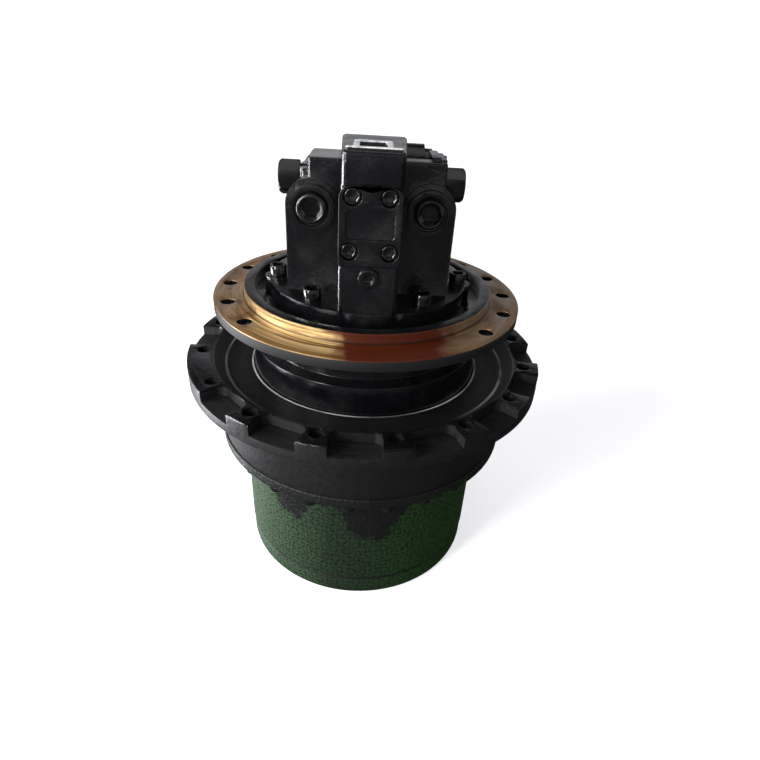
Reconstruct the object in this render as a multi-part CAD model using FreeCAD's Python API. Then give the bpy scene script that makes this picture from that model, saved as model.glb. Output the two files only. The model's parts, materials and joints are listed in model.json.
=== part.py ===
import FreeCAD, Part
import math
import os

# Travel motor with a two-stage planetary final drive, in millimetres.
# The origin is the centre of the frame flange's mounting face.  +Z runs along
# the drive axis towards the motor, and -Y is the side with the valve cover.

# ---------------------------------------------------------------- clearances
running_clearance = 0.05      # radial, a shaft or spool in its bore
axial_clearance = 0.2         # between faces that turn against each other
edge_break = 1.0              # on turned outside edges
seam_chamfer = 1.5            # on both sides of a visible joint line
through = 1.0                 # how far a cutter runs past the face that it opens

# -------------------------------------------------------------------- gears
module = 4.0
pressure_angle = 25.0         # degrees
backlash = 0.4                # at the pitch circle, split between both flanks
dedendum_ratio = 1.25
ring_teeth = 72
first_sun_teeth = 12
second_sun_teeth = 18
planets_per_stage = 3
first_planet_phase = -90.0    # degrees to the first planet of the first stage
second_planet_phase = -30.0   # degrees to the first planet of the second stage
ring_root_radius = module * (ring_teeth / 2 + dedendum_ratio)
ring_tip_radius = module * (ring_teeth / 2 - 1)

# ---------------------------------------------------------------- fasteners
m14_shank_radius = 7.0
m14_head_radius = 10.5
m14_head_height = 14.0
m12_shank_radius = 6.0
m12_head_radius = 9.0
m12_head_height = 12.0
m12_low_head_height = 6.0
m10_shank_radius = 5.0
m10_head_radius = 8.0
m10_head_height = 10.0
# Each cap screw is (shank radius, head radius, head height).
rear_cover_screw = (m14_shank_radius, m14_head_radius, m14_head_height)
ring_gear_screw = (m14_shank_radius, m14_head_radius, m14_head_height)
valve_cover_screw = (m12_shank_radius, m12_head_radius, m12_low_head_height)
carrier_screw = (m12_shank_radius, m12_head_radius, m12_head_height)
end_cover_screw = (m10_shank_radius, m10_head_radius, m10_head_height)
screw_grip = 1.8              # engaged length over shank diameter

# ---------------------------------------------------------------- ring gear
ring_wall = 25.0              # roots of the teeth to the outside
ring_length = 180.0
ring_tooth_length = 144.0
ring_bolt_step = 14.0         # outside of the ring to the screw circle
ring_flange_edge = 17.0       # screw circle to the flange's edge
ring_flange_thickness = 14.0
ring_flange_root_chamfer = 3.0
ring_bolt_count = 24
ring_bolt_phase = 11.0        # degrees
ring_outer_radius = ring_root_radius + ring_wall
ring_bolt_circle_radius = ring_outer_radius + ring_bolt_step
ring_flange_radius = ring_bolt_circle_radius + ring_flange_edge

# ------------------------------------------------------------ main bearings
bearing_seat_step = 4.0       # outside of the ring gear in to the bearing seats
bearing_section = 40.0        # seat radius less bore radius
bearing_width = 32.0
bearing_spacing = 6.0
bearing_rib_height = 8.0      # rib in the drum between the two outer rings
bearing_lip = 6.0             # ring gear's lip under the lower outer ring
main_roller_radius = 7.5
main_roller_length = 21.0
main_roller_count = 24
main_roller_tilt = 12.0       # degrees
raceway_clearance = 0.06
bearing_outer_radius = ring_outer_radius - bearing_seat_step
bearing_bore_radius = bearing_outer_radius - bearing_section
bearing_mean_radius = (bearing_bore_radius + bearing_outer_radius) / 2
ring_top_bore_radius = bearing_outer_radius - bearing_lip

# ---------------------------------------------------------------- face seal
seal_land_step = 6.0          # bearing bore out to the land inside the seal
seal_land_gap = 2.6
seal_ring_tail_wall = 4.6
seal_ring_face_width = 10.4
seal_cavity_gap = 1.5
seal_ring_tail_length = 7.0
seal_ring_face_thickness = 4.0
seal_o_ring_radius = 3.5
seal_cavity_depth = 15.0
seal_land_radius = bearing_bore_radius + seal_land_step
seal_ring_inner_radius = seal_land_radius + seal_land_gap
seal_ring_tail_radius = seal_ring_inner_radius + seal_ring_tail_wall
seal_ring_face_radius = seal_ring_inner_radius + seal_ring_face_width
seal_cavity_radius = seal_ring_face_radius + seal_cavity_gap

# ------------------------------------------------- motor case and its flange
collar_wall = 4.9
collar_taper = 4.0            # radial, from the collar's lower edge to its top
collar_shoulder = 4.0
collar_height = 40.0
neck_step = 13.4              # collar's top in to the neck
neck_fillet = 8.0
neck_length = 47.0            # underside of the flange to the collar's shoulder
frame_flange_overhang = 62.0  # neck to the flange's rim
frame_flange_thickness = 13.0
frame_bolt_edge = 17.0        # bolt circle to the flange's rim
frame_bolt_hole_radius = 9.0
frame_bolt_pitch = 20.0       # degrees between the five holes on each side
pilot_edge = 38.0             # pilot's outside to the flange's rim
pilot_wall = 14.0
pilot_height = 12.0
bearing_step = 16.0           # collar's lower edge down to the bearings
case_floor_step = 4.0         # bearings' top up to the floor under the swash plate
nose_pocket_margin = 2.5
nose_pocket_depth = 26.0
collar_bottom_radius = seal_cavity_radius + collar_wall
collar_top_radius = collar_bottom_radius - collar_taper
neck_radius = collar_top_radius - neck_step
frame_flange_radius = neck_radius + frame_flange_overhang
frame_bolt_circle_radius = frame_flange_radius - frame_bolt_edge
pilot_outer_radius = frame_flange_radius - pilot_edge
pilot_inner_radius = pilot_outer_radius - pilot_wall
collar_top = -frame_flange_thickness - neck_length - collar_shoulder
collar_bottom = collar_top - collar_height
bearing_top = collar_bottom - bearing_step
floor_level = bearing_top + case_floor_step
bearing_middle_top = bearing_top - bearing_width
bearing_middle_bottom = bearing_middle_top - bearing_spacing
nose_end = bearing_middle_bottom - bearing_width

# ------------------------------------------------------------ sprocket drum
labyrinth_gap = 1.0           # drum to the collar, radial
labyrinth_depth = 2.0
dish_step = 4.0               # collar's lower edge up to the dished floor
dish_depth = 17.0             # dished floor up to the top of the bolt pads
dish_ridge_setback = 18.6     # edge of the pads in to the ridge round the dish
dish_ridge_height = 3.0
dish_ridge_width = 4.0
sprocket_flange_overhang = 36.0
sprocket_flange_thickness = 27.0
sprocket_bolt_edge = 21.0     # bolt circle to the flange's rim
sprocket_bolt_hole_radius = 8.75
sprocket_bolt_count = 16
sprocket_bolt_phase = 9.8     # degrees from +X to the first hole
pocket_depth = 14.0
pocket_setback = 12.0         # bolt circle in to the pockets' inner side
pocket_half_angle = 7.0       # degrees
pocket_corner_radius = 11.0
pad_chamfer = 3.0
drum_pilot_step = 1.0         # ring gear's flange out to the sprocket's pilot
drum_pilot_length = 18.0
drum_wall_step = 3.0          # pilot in to the drum's wall
drum_wall_taper = 4.0
drum_pilot_radius = ring_flange_radius + drum_pilot_step
drum_wall_radius = drum_pilot_radius - drum_wall_step
sprocket_flange_radius = drum_pilot_radius + sprocket_flange_overhang
sprocket_bolt_circle_radius = sprocket_flange_radius - sprocket_bolt_edge
pocket_inner_radius = sprocket_bolt_circle_radius - pocket_setback
pad_inner_radius = pocket_inner_radius + 0.6
dish_ridge_radius = pad_inner_radius - dish_ridge_setback
dish_floor = collar_bottom + dish_step
pad_top = dish_floor + dish_depth
pocket_floor = pad_top - pocket_depth
flange_underside = pad_top - sprocket_flange_thickness

# ---------------------------------------------------------------- end cover
cover_step = 1.0              # outside of the ring gear in to the cover's edge
cover_height = 32.0
cover_edge_chamfer = 4.0
cover_plate_thickness = 16.0
cover_spigot_height = 6.0
cover_spigot_step = 1.0       # roots of the ring's teeth out to the spigot
cover_wall = 20.0
cover_bolt_step = 12.0        # roots of the ring's teeth out to the screw circle
cover_bolt_count = 12
cover_bolt_depth = 20.0
cover_boss_radius = 14.0      # boss that stops the pinion
cover_plug_circle_radius = 104.0
cover_plug_radius = 15.0
cover_plug_flats = 10.4
cover_plug_socket_depth = 8.0
cover_radius = ring_outer_radius - cover_step
cover_bolt_circle_radius = ring_root_radius + cover_bolt_step
ring_top = nose_end
ring_flange_bottom = ring_top - ring_flange_thickness
ring_bottom = ring_top - ring_length
cover_bottom = ring_bottom - cover_height

# -------------------------------------------------- second stage, fixed carrier
second_plate_thickness = 18.0
second_face_width = 62.0
second_lower_plate_thickness = 14.0
second_pin_radius = 20.0
second_carrier_gap = 4.0      # carrier to the tips of the ring's teeth
carrier_web_width = 20.0
carrier_web_half_angle = 15.0  # degrees
carrier_bolt_step = 14.0      # planet centres out to the screw circle
carrier_bolt_spread = 12.0    # degrees between neighbouring bolts of a group
thrust_washer_thickness = 2.0
thrust_washer_width = 12.0

# ------------------------------------------------ first stage, turning carrier
stage_gap = 6.0
first_plate_thickness = 12.0
first_face_width = 38.0
first_lower_plate_thickness = 10.0
first_pin_radius = 16.0
first_carrier_gap = 8.0
first_lower_hub_radius = 34.0
sun_seat_lip = 2.0
sun_seat_lip_radius = 28.0

# --------------------------------------------------------- gear train levels
ring_tooth_top = ring_top - second_plate_thickness
ring_tooth_bottom = ring_tooth_top - ring_tooth_length
first_planet_teeth = (ring_teeth - first_sun_teeth) // 2
second_planet_teeth = (ring_teeth - second_sun_teeth) // 2
first_centre_distance = module * (first_sun_teeth + first_planet_teeth) / 2
second_centre_distance = module * (second_sun_teeth + second_planet_teeth) / 2
second_carrier_radius = ring_tip_radius - second_carrier_gap
first_carrier_radius = ring_tip_radius - first_carrier_gap
carrier_bolt_circle_radius = second_centre_distance + carrier_bolt_step

second_plate_bottom = nose_end - second_plate_thickness
second_gear_top = second_plate_bottom - thrust_washer_thickness
second_gear_bottom = second_gear_top - second_face_width
second_lower_plate_top = second_gear_bottom - thrust_washer_thickness
second_carrier_end = second_lower_plate_top - second_lower_plate_thickness

first_plate_top = second_carrier_end - stage_gap
first_plate_bottom = first_plate_top - first_plate_thickness
first_gear_top = first_plate_bottom - thrust_washer_thickness
first_gear_bottom = first_gear_top - first_face_width
first_lower_plate_top = first_gear_bottom - thrust_washer_thickness
first_carrier_end = first_lower_plate_top - first_lower_plate_thickness
pinion_end = first_lower_plate_top - thrust_washer_thickness

# ---------------------------------------------------- shaft bearing and seal
shaft_bearing_seat_radius = 20.0
shaft_bearing_width = 26.0
shaft_roller_radius = 4.0
shaft_roller_gap = 0.25       # roller to each of its two tracks
shaft_roller_count = 12
shaft_roller_end_gap = 3.0
shaft_ring_thickness = 7.0
shaft_seal_radius = 36.0
shaft_seal_width = 10.0
shaft_seal_bore_radius = 28.0
shaft_seal_lip = 3.0
shaft_inner_track = shaft_bearing_seat_radius + shaft_ring_thickness
shaft_outer_track = shaft_inner_track + 2 * (shaft_roller_radius + shaft_roller_gap)
shaft_bearing_outer_radius = shaft_outer_track + shaft_ring_thickness
shaft_bearing_bottom = floor_level - shaft_bearing_width
shaft_seal_bottom = shaft_bearing_bottom - shaft_seal_width
nose_pocket_top = nose_end + nose_pocket_depth
nose_pocket_radius = shaft_bearing_outer_radius + nose_pocket_margin
second_carrier_hub_radius = nose_pocket_radius + 1.0

# -------------------------------------------------------------- motor shaft
shaft_radius = 17.0
shaft_rear_radius = 14.0
shaft_rear_length = 24.0
rear_bush_wall = 8.0
rear_relief_step = 2.0        # shaft's rear end out to the bore behind it
rear_relief_depth = 4.0
shaft_end_radius = 16.0
shaft_end_length = 20.0
coupling_outer_radius = 27.0
coupling_length = 40.0
pinion_shaft_radius = 15.0
pinion_tail_radius = 12.0
second_sun_bore_radius = 21.0
shaft_end = nose_pocket_top - shaft_end_length
coupling_top = nose_pocket_top - 2 * axial_clearance
coupling_bottom = coupling_top - coupling_length
pinion_top = shaft_end - axial_clearance

# ---------------------------------------------------------- rotating group
block_radius = 56.0
block_length = 62.0
block_nose_radius = 20.0
block_nose_flare = 6.0
valve_plate_margin = 2.0      # valve plate's rim outside the block
valve_plate_thickness = 6.0
valve_plate_bore_gap = 4.0
kidney_half_width = 5.0
kidney_half_angle = 55.0      # degrees
piston_count = 9
piston_setback = 18.0         # block's outside in to the piston circle
piston_radius = 9.5
piston_length = 52.0
piston_ball_radius = 6.5
piston_neck_radius = 4.5
piston_neck_length = 9.0
piston_wall = 3.5
piston_hollow_depth = 26.0
cylinder_head_thickness = 10.0
shoe_radius = 9.0
shoe_flange_radius = 11.0
shoe_flange_thickness = 3.0
shoe_height = 12.0
ball_setback = 3.0            # top of the shoe down to the ball's centre
retainer_setback = 2.0
retainer_thickness = 3.0
swash_plate_margin = 6.0      # swash plate's rim outside the block
swash_plate_thickness = 20.0
swash_plate_bore_radius = 24.0
swash_plate_lift = 4.0        # floor of the case up to the swash plate
swash_relief_setback = 50.0
swash_rim_thickness = 8.0
pivot_ball_radius = 8.0
pivot_ball_margin = 8.0       # shaft bearing's outside out to the ball's centre
pivot_ball_setback = 12.0
pivot_ball_level = 3.0
speed_piston_radius = 8.5
speed_piston_length = 24.0
speed_piston_margin = 10.0    # shaft bearing's outside out to the piston's axis
speed_piston_stroke = 8.0
valve_plate_radius = block_radius + valve_plate_margin
piston_circle_radius = block_radius - piston_setback
retainer_radius = block_radius - retainer_setback
swash_plate_radius = block_radius + swash_plate_margin
pivot_ball_offset = shaft_bearing_outer_radius + pivot_ball_margin
speed_piston_offset = shaft_bearing_outer_radius + speed_piston_margin
block_top = -valve_plate_thickness - axial_clearance
block_bottom = block_top - block_length
swash_underside = floor_level + swash_plate_lift
swash_face = swash_underside + swash_plate_thickness
shoe_bottom = swash_face + axial_clearance
shoe_top = shoe_bottom + shoe_height
ball_level = shoe_top - ball_setback
retainer_bottom = shoe_bottom + shoe_flange_thickness

# -------------------------------------------------------------------- brake
separator_plate_thickness = 3.0
separator_gap = 5.0           # block's outside to the separator plates
friction_plate_thickness = 3.0
friction_plate_count = 3
friction_plate_width = 24.0
friction_plate_gap = 4.0      # friction plates to the bore round them
brake_piston_gap = 6.0        # block's outside to the brake piston
brake_piston_height = 24.0
brake_seal_groove = 4.0
disc_spring_thickness = 2.0
disc_spring_height = 5.8
swash_bore_step = 8.0         # brake bore in to the bore round the swash plate
separator_inner_radius = block_radius + separator_gap
brake_piston_inner_radius = block_radius + brake_piston_gap
friction_plate_radius = block_radius + friction_plate_width
brake_bore_radius = friction_plate_radius + friction_plate_gap
swash_bore_radius = brake_bore_radius - swash_bore_step
separator_count = friction_plate_count + 1
brake_stack_pitch = separator_plate_thickness + friction_plate_thickness + 2 * axial_clearance
brake_stack_height = friction_plate_count * brake_stack_pitch + separator_plate_thickness
brake_bore_depth = brake_stack_height + brake_piston_height + disc_spring_height
brake_stack_top = -brake_bore_depth + brake_stack_height
brake_piston_top = brake_stack_top + brake_piston_height

# --------------------------------------------------------------- rear cover
base_plate_inset = 20.0       # pilot's bore in to the base plate
base_plate_height = 20.0
base_bolt_edge = 17.5
ear_bolt_edge = 11.0
ear_radius = 17.0
ear_angle = 7.0               # degrees that the two ears lie in front of the X axis
spot_face_margin = 1.5
spot_face_height = 30.0
port_offset = 67.0
port_column_radius = 30.0
port_boss_radius = 26.0
port_boss_height = 6.0
port_recess_radius = 20.0
port_recess_depth = 5.0
port_drop = 2.0               # top of the body down to the ports
port_plug_radius = 17.0
port_plug_height = 8.0
port_plug_seat_radius = 13.0
port_plug_seat_depth = 22.0
port_plug_flats = 15.0
port_plug_socket_depth = 6.0
body_side_margin = 1.0
body_draft = 3.0              # how far each side leans in
body_back_draft = 2.0
body_front = 62.0             # drive axis to the front of the port columns
body_back = 72.0
body_height = 101.0
body_corner_radius = 14.0
upper_body_reach = 17.0       # port axis out to the side of the upper body
upper_body_height = 36.0
upper_body_setback = 22.0
upper_back_setback = 4.0
centre_half_width = 32.0
centre_reach = 53.0           # front of the columns to the front of the centre
centre_bottom = 12.0
head_reach = 7.0
head_back = 5.0
head_height = 33.0
head_front_half_width = 32.0
head_back_half_width = 38.0
head_side_shift = 1.0
head_corner_radius = 6.0
head_edge_radius = 3.5
head_rim_height = 3.0
head_rim_half_width = 20.5
head_rim_setback = 5.0        # front of the head back to the rim
head_rim_length = 54.0
head_pocket_half_width = 14.0
head_pocket_margin = 6.0
head_pocket_length = 38.0
head_pocket_depth = 9.0
shoulder_height = 15.5
shoulder_setback = 4.0
shoulder_edge_radius = 3.0
left_shoulder_inset = 12.0
right_shoulder_inset = 1.0
right_shoulder_depth = 25.0
right_step_widths = (7.0, 10.0)
right_step_heights = (1.8, 4.2)
drain_height = 62.0
drain_setback = 40.0
drain_boss_radius = 15.0
drain_boss_root = 12.0
drain_boss_reach = 4.0
base_plate_radius = pilot_inner_radius - base_plate_inset
base_bolt_circle_radius = base_plate_radius - base_bolt_edge
ear_circle_radius = base_plate_radius - ear_bolt_edge
body_half_width = port_offset + port_column_radius + body_side_margin
body_top = base_plate_height + body_height
port_height = body_top - port_drop
upper_half_width = port_offset + upper_body_reach
upper_front = body_front - upper_body_setback
upper_top = body_top + upper_body_height
centre_front = body_front + centre_reach
head_front = centre_front + head_reach
head_top = upper_top + head_height
shoulder_top = upper_top + shoulder_height
shoulder_front = body_front - shoulder_setback

# ------------------------------------------------------- valve cover plate
valve_cover_thickness = 10.0
valve_cover_half_width = 33.0
valve_cover_height = 83.0
valve_cover_corner_radius = 12.0
valve_cover_gap = 0.5         # plate's lower edge to the casting's foot
valve_bolt_top_edge = 10.0
valve_bolt_bottom_edge = 16.0
valve_bolt_high_offset = 19.0
valve_bolt_low_offset = 21.5
valve_bolt_depth = 24.0
valve_counterbore_margin = 0.8
valve_counterbore_depth = 6.5
scallop_radius = 14.0
scallop_depth = 5.0
cover_recess_depth = 3.0
cover_recess_half_width = 26.0
cover_recess_height = 30.0
cover_recess_corner_radius = 5.0
valve_cover_face = centre_front + valve_cover_thickness
valve_cover_bottom = upper_top - valve_cover_height
valve_bolt_low = valve_cover_bottom + valve_bolt_bottom_edge
valve_bolt_high = upper_top - valve_bolt_top_edge

# ------------------------------------------------------ counterbalance valve
spool_drop = 14.0             # top of the upper body down to the spool's axis
spool_setback = 20.0          # drive axis to the spool's axis, towards the front
spool_radius = 14.0
spool_half_length = 56.0
spool_land_length = 24.0
spool_waist_radius = 9.0
spool_plug_flats = 34.0
spool_plug_thread_radius = 15.5
spool_plug_thread_length = 16.0
spool_plug_head_length = 24.0
spool_plug_chamfer = 2.5
spool_plug_clearance = 1.5
spool_plug_socket_radius = 8.0
spool_plug_socket_depth = 10.0
spool_spring_inner_radius = 5.0
spool_spring_wall = 3.0
spool_spring_cone = 3.0
spool_spring_discs = 6
spool_height = upper_top - spool_drop
spool_bore_radius = spool_radius + running_clearance
spool_plug_corner_radius = spool_plug_flats / math.sqrt(3)

# ---------------------------------------------------------- two-speed valve
speed_valve_drop = 5.0
speed_valve_setback = -30.0
speed_boss_radius = 28.0
speed_boss_end = 62.0
speed_boss_start = -12.0
speed_bore_setback = 6.0
speed_cap_radius = 23.0
speed_cap_length = 10.0
speed_cap_flats = 28.0
speed_cap_nut_length = 19.0
speed_cap_thread_radius = 14.0
speed_cap_thread_length = 14.0
speed_cap_room = 4.0
speed_spool_radius = 9.0
speed_spool_length = 44.0
speed_spool_groove = 3.0
speed_valve_height = upper_top - speed_valve_drop
speed_bore_radius = speed_spool_radius + running_clearance

# --------------------------------------------------------- small port plugs
front_plug_drop = 12.0        # valve cover plate's lower edge down to the plug
front_plug_radius = 11.0
drain_plug_radius = 11.0
small_plug_head = 5.0
small_plug_stem = 11.0
small_plug_stem_ratio = 0.7   # stem over head

UP = FreeCAD.Vector(0, 0, 1)
RIGHT = FreeCAD.Vector(1, 0, 0)
FRONT = FreeCAD.Vector(0, -1, 0)


# ------------------------------------------------------------------- helpers
def point(x, y, z):
    return FreeCAD.Vector(x, y, z)


def on_circle(radius, degrees, z=0.0):
    angle = math.radians(degrees)
    return point(radius * math.cos(angle), radius * math.sin(angle), z)


def revolve(section):
    """Solid of revolution about the drive axis from (radius, z) corners."""
    corners = [point(radius, 0, z) for radius, z in section]
    outline = Part.makePolygon(corners + corners[:1])
    return Part.Face(outline).revolve(point(0, 0, 0), UP, 360)


def disc(radius, low, high, centre=None):
    base = centre or point(0, 0, 0)
    return Part.makeCylinder(radius, high - low, point(base.x, base.y, low), UP)


def ring(outer, inner, low, high):
    return revolve([(inner, low), (outer, low), (outer, high), (inner, high)])


def rod(radius, start, direction, length):
    return Part.makeCylinder(radius, length, start, direction)


def prism(corners, low, high):
    """Straight solid from a closed outline of (x, y) corners."""
    vertices = [point(x, y, low) for x, y in corners]
    face = Part.Face(Part.makePolygon(vertices + vertices[:1]))
    return face.extrude(point(0, 0, high - low))


def turned(shape, degrees):
    copy = shape.copy()
    copy.rotate(point(0, 0, 0), UP, degrees)
    return copy


def around(shape, count, first=0.0):
    return [turned(shape, first + 360.0 * index / count) for index in range(count)]


def joined(shapes):
    solid = shapes[0].fuse(shapes[1:]) if len(shapes) > 1 else shapes[0]
    return solid.removeSplitter()


def group(shapes):
    return Part.Compound(shapes)


def rounded_prism(corners, z_range, radius, top_radius=0.0):
    """Upright prism with rounded vertical edges and, where asked, a rounded top edge."""
    low, high = z_range
    solid = prism(corners, low, high)
    upright = [edge for edge in solid.Edges if abs(edge.Vertexes[0].Z - edge.Vertexes[1].Z) > 1e-6]
    solid = solid.makeFillet(radius, upright)
    if not top_radius:
        return solid
    top_edges = [edge for edge in solid.Edges if all(abs(vertex.Z - high) < 1e-6 for vertex in edge.Vertexes)]
    return solid.makeFillet(top_radius, top_edges)


def rounded_block(x_range, y_range, z_range, radius, top_radius=0.0):
    corners = [(x_range[0], y_range[0]), (x_range[1], y_range[0]), (x_range[1], y_range[1]),
               (x_range[0], y_range[1])]
    return rounded_prism(corners, z_range, radius, top_radius)


def hexagonal_rod(flats, start, direction, length):
    """Six-sided bar of the given width across its flats."""
    corner = flats / math.sqrt(3)
    outline = [(corner * math.cos(math.radians(60 * side)), corner * math.sin(math.radians(60 * side)))
               for side in range(6)]
    bar = prism(outline, 0, length)
    bar.Placement = FreeCAD.Placement(start, FreeCAD.Rotation(UP, direction))
    return bar


def annular_sector(inner, outer, half_angle, low, high, middle=0.0):
    """Block bounded by two arcs about the drive axis and two radial sides."""
    reach = outer * 2
    wedge = prism([(0, 0), (reach, -reach * math.tan(math.radians(half_angle))),
                   (reach, reach * math.tan(math.radians(half_angle)))], low, high)
    return turned(ring(outer, inner, low, high).common(wedge), middle)


def cap_screw(size, seat, direction, grip):
    """Cap screw with its head on the seat and its shank along direction."""
    shank_radius, head_radius, head_height = size
    shank = rod(shank_radius, seat, direction, grip)
    head = rod(head_radius, seat, direction * -1, head_height)
    return joined([head, shank])


def save(name, shape):
    shape.exportStep("parts/" + name + ".step")


# --------------------------------------------------------------- gear teeth
def involute(angle):
    return math.tan(angle) - angle


def half_tooth_angle(teeth, radius, thinning):
    """Half the angle that a tooth fills at a radius, with the tooth thinned."""
    pitch_radius = module * teeth / 2
    base_radius = pitch_radius * math.cos(math.radians(pressure_angle))
    widest = math.pi / (2 * teeth) + involute(math.radians(pressure_angle))
    widest -= thinning / (2 * pitch_radius)
    if radius <= base_radius:
        return widest
    return widest - involute(math.acos(base_radius / radius))


def gear_outline(teeth, inner_radius, outer_radius, thinning, first_tooth):
    """Corners of a gear: root, pitch and tip points on both flanks of each tooth."""
    pitch_radius = module * teeth / 2
    rising = [inner_radius, pitch_radius, outer_radius]
    corners = []
    for tooth in range(teeth):
        middle = math.radians(first_tooth) + 2 * math.pi * tooth / teeth
        for radius in rising:
            angle = middle - half_tooth_angle(teeth, radius, thinning)
            corners.append((radius * math.cos(angle), radius * math.sin(angle)))
        for radius in reversed(rising):
            angle = middle + half_tooth_angle(teeth, radius, thinning)
            corners.append((radius * math.cos(angle), radius * math.sin(angle)))
    return corners


def external_gear(teeth, low, high, first_tooth, growth=0.0):
    pitch_radius = module * teeth / 2
    root = pitch_radius - dedendum_ratio * module
    outline = gear_outline(teeth, root + growth, pitch_radius + module + growth,
                           backlash / 2 - 2 * growth, first_tooth)
    return prism(outline, low, high)


def internal_tooth_spaces(low, high):
    """Cutter that leaves the ring gear's teeth, with a space on each planet line."""
    outline = gear_outline(ring_teeth, ring_tip_radius, ring_root_radius, -backlash / 2, first_planet_phase)
    return prism(outline, low, high)


# ------------------------------------------------------- motor case (fixed)
def make_spindle_housing():
    seal_floor = collar_bottom + seal_cavity_depth
    case = revolve([
        (brake_bore_radius, 0),
        (pilot_inner_radius, 0),
        (pilot_inner_radius, pilot_height),
        (pilot_outer_radius - edge_break, pilot_height),
        (pilot_outer_radius, pilot_height - edge_break),
        (pilot_outer_radius, 0),
        (frame_flange_radius, 0),
        (frame_flange_radius, -frame_flange_thickness),
        (neck_radius + neck_fillet, -frame_flange_thickness),
        (neck_radius, -frame_flange_thickness - neck_fillet),
        (neck_radius, collar_top + collar_shoulder),
        (collar_top_radius, collar_top),
        (collar_bottom_radius, collar_bottom),
        (seal_cavity_radius, collar_bottom),
        (seal_cavity_radius, seal_floor),
        (seal_land_radius, seal_floor),
        (seal_land_radius, bearing_top),
        (bearing_bore_radius, bearing_top),
        (bearing_bore_radius, nose_end),
        (nose_pocket_radius, nose_end),
        (nose_pocket_radius, nose_pocket_top),
        (shaft_seal_bore_radius, nose_pocket_top),
        (shaft_seal_bore_radius, shaft_seal_bottom),
        (shaft_seal_radius, shaft_seal_bottom),
        (shaft_seal_radius, shaft_bearing_bottom),
        (shaft_bearing_outer_radius, shaft_bearing_bottom),
        (shaft_bearing_outer_radius, floor_level),
        (swash_bore_radius, floor_level),
        (swash_bore_radius, -brake_bore_depth),
        (brake_bore_radius, -brake_bore_depth),
    ])
    cuts = frame_bolt_holes() + base_screw_holes() + carrier_screw_holes()
    cuts += pivot_balls(running_clearance)
    cuts.append(disc(speed_piston_radius + running_clearance,
                     floor_level - speed_piston_length - speed_piston_stroke, floor_level,
                     point(0, speed_piston_offset, 0)))
    return case.cut(cuts)


def frame_bolt_holes():
    holes = []
    for side in (0, 180):
        for step in range(-2, 3):
            centre = on_circle(frame_bolt_circle_radius, side + step * frame_bolt_pitch)
            holes.append(disc(frame_bolt_hole_radius, -frame_flange_thickness - through, through, centre))
    return holes


def ear_centres():
    return [on_circle(ear_circle_radius, angle) for angle in (-ear_angle, 180 + ear_angle)]


def base_screw_centres():
    """Eight screws hold the rear cover: two in the ears, two in front and four behind."""
    return ear_centres() + [on_circle(base_bolt_circle_radius, angle)
                            for angle in (-54, -126, 50, 78, 102, 130)]


def base_screw_grip():
    return base_plate_height + screw_grip * 2 * rear_cover_screw[0]


def base_screw_holes():
    return [disc(rear_cover_screw[0], base_plate_height - base_screw_grip() - through, through, centre)
            for centre in base_screw_centres()]


def carrier_screw_seats():
    """Three screws in each gap between the second-stage planets."""
    seats = []
    for gap in range(planets_per_stage):
        middle = second_planet_phase + (gap + 0.5) * 360.0 / planets_per_stage
        for step in (-1, 0, 1):
            seats.append(on_circle(carrier_bolt_circle_radius, middle + step * carrier_bolt_spread,
                                   second_plate_bottom))
    return seats


def carrier_screw_grip():
    return second_plate_thickness + screw_grip * 2 * carrier_screw[0]


def carrier_screw_holes():
    return [rod(carrier_screw[0], seat, UP, carrier_screw_grip() + through) for seat in carrier_screw_seats()]


# -------------------------------------------------- rotating group and brake
def make_valve_plate():
    """Flat plate with one long and one split kidney port."""
    plate = ring(valve_plate_radius, shaft_radius + valve_plate_bore_gap, -valve_plate_thickness, 0)
    slot = annular_sector(piston_circle_radius - kidney_half_width, piston_circle_radius + kidney_half_width,
                          kidney_half_angle, -valve_plate_thickness - through, through)
    return plate.cut([slot, turned(slot, 180)])


def make_cylinder_block():
    section = [(shaft_radius, block_top), (block_radius, block_top), (block_radius, block_bottom),
               (block_nose_radius + block_nose_flare, block_bottom),
               (block_nose_radius, block_bottom - block_nose_flare),
               (block_nose_radius, retainer_bottom), (shaft_radius, retainer_bottom)]
    block = revolve(section)
    bore_end = block_top - cylinder_head_thickness
    centre = on_circle(piston_circle_radius, 0)
    bore = disc(piston_radius + running_clearance, block_bottom - through, bore_end, centre)
    port = disc(kidney_half_width, bore_end - through, block_top + through, centre)
    return block.cut(around(bore.fuse(port), piston_count))


def make_pistons():
    top = ball_level + piston_length
    centre = on_circle(piston_circle_radius, 0)
    barrel = disc(piston_radius, ball_level + piston_neck_length, top, centre)
    neck = disc(piston_neck_radius, ball_level, ball_level + piston_neck_length, centre)
    hollow = disc(piston_radius - piston_wall, top - piston_hollow_depth, top + through, centre)
    ball = Part.makeSphere(piston_ball_radius, point(centre.x, centre.y, ball_level))
    return group(around(joined([barrel.cut(hollow), neck, ball]), piston_count))


def make_piston_shoes():
    centre = on_circle(piston_circle_radius, 0)
    body = disc(shoe_radius, shoe_bottom, shoe_top, centre)
    flange = disc(shoe_flange_radius, shoe_bottom, retainer_bottom, centre)
    socket = Part.makeSphere(piston_ball_radius + running_clearance, point(centre.x, centre.y, ball_level))
    mouth = disc(piston_neck_radius + 1, ball_level, shoe_top + through, centre)
    return group(around(joined([body, flange]).cut([socket, mouth]), piston_count))


def make_shoe_retainer():
    plate = ring(retainer_radius, block_nose_radius, retainer_bottom, retainer_bottom + retainer_thickness)
    hole = disc(shoe_radius + running_clearance, retainer_bottom - through,
                retainer_bottom + retainer_thickness + through, on_circle(piston_circle_radius, 0))
    return plate.cut(around(hole, piston_count))


def pivot_balls(growth=0.0):
    level = floor_level + pivot_ball_level
    return [Part.makeSphere(pivot_ball_radius + growth,
                            point(side * pivot_ball_offset, -pivot_ball_setback, level)) for side in (-1, 1)]


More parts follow.
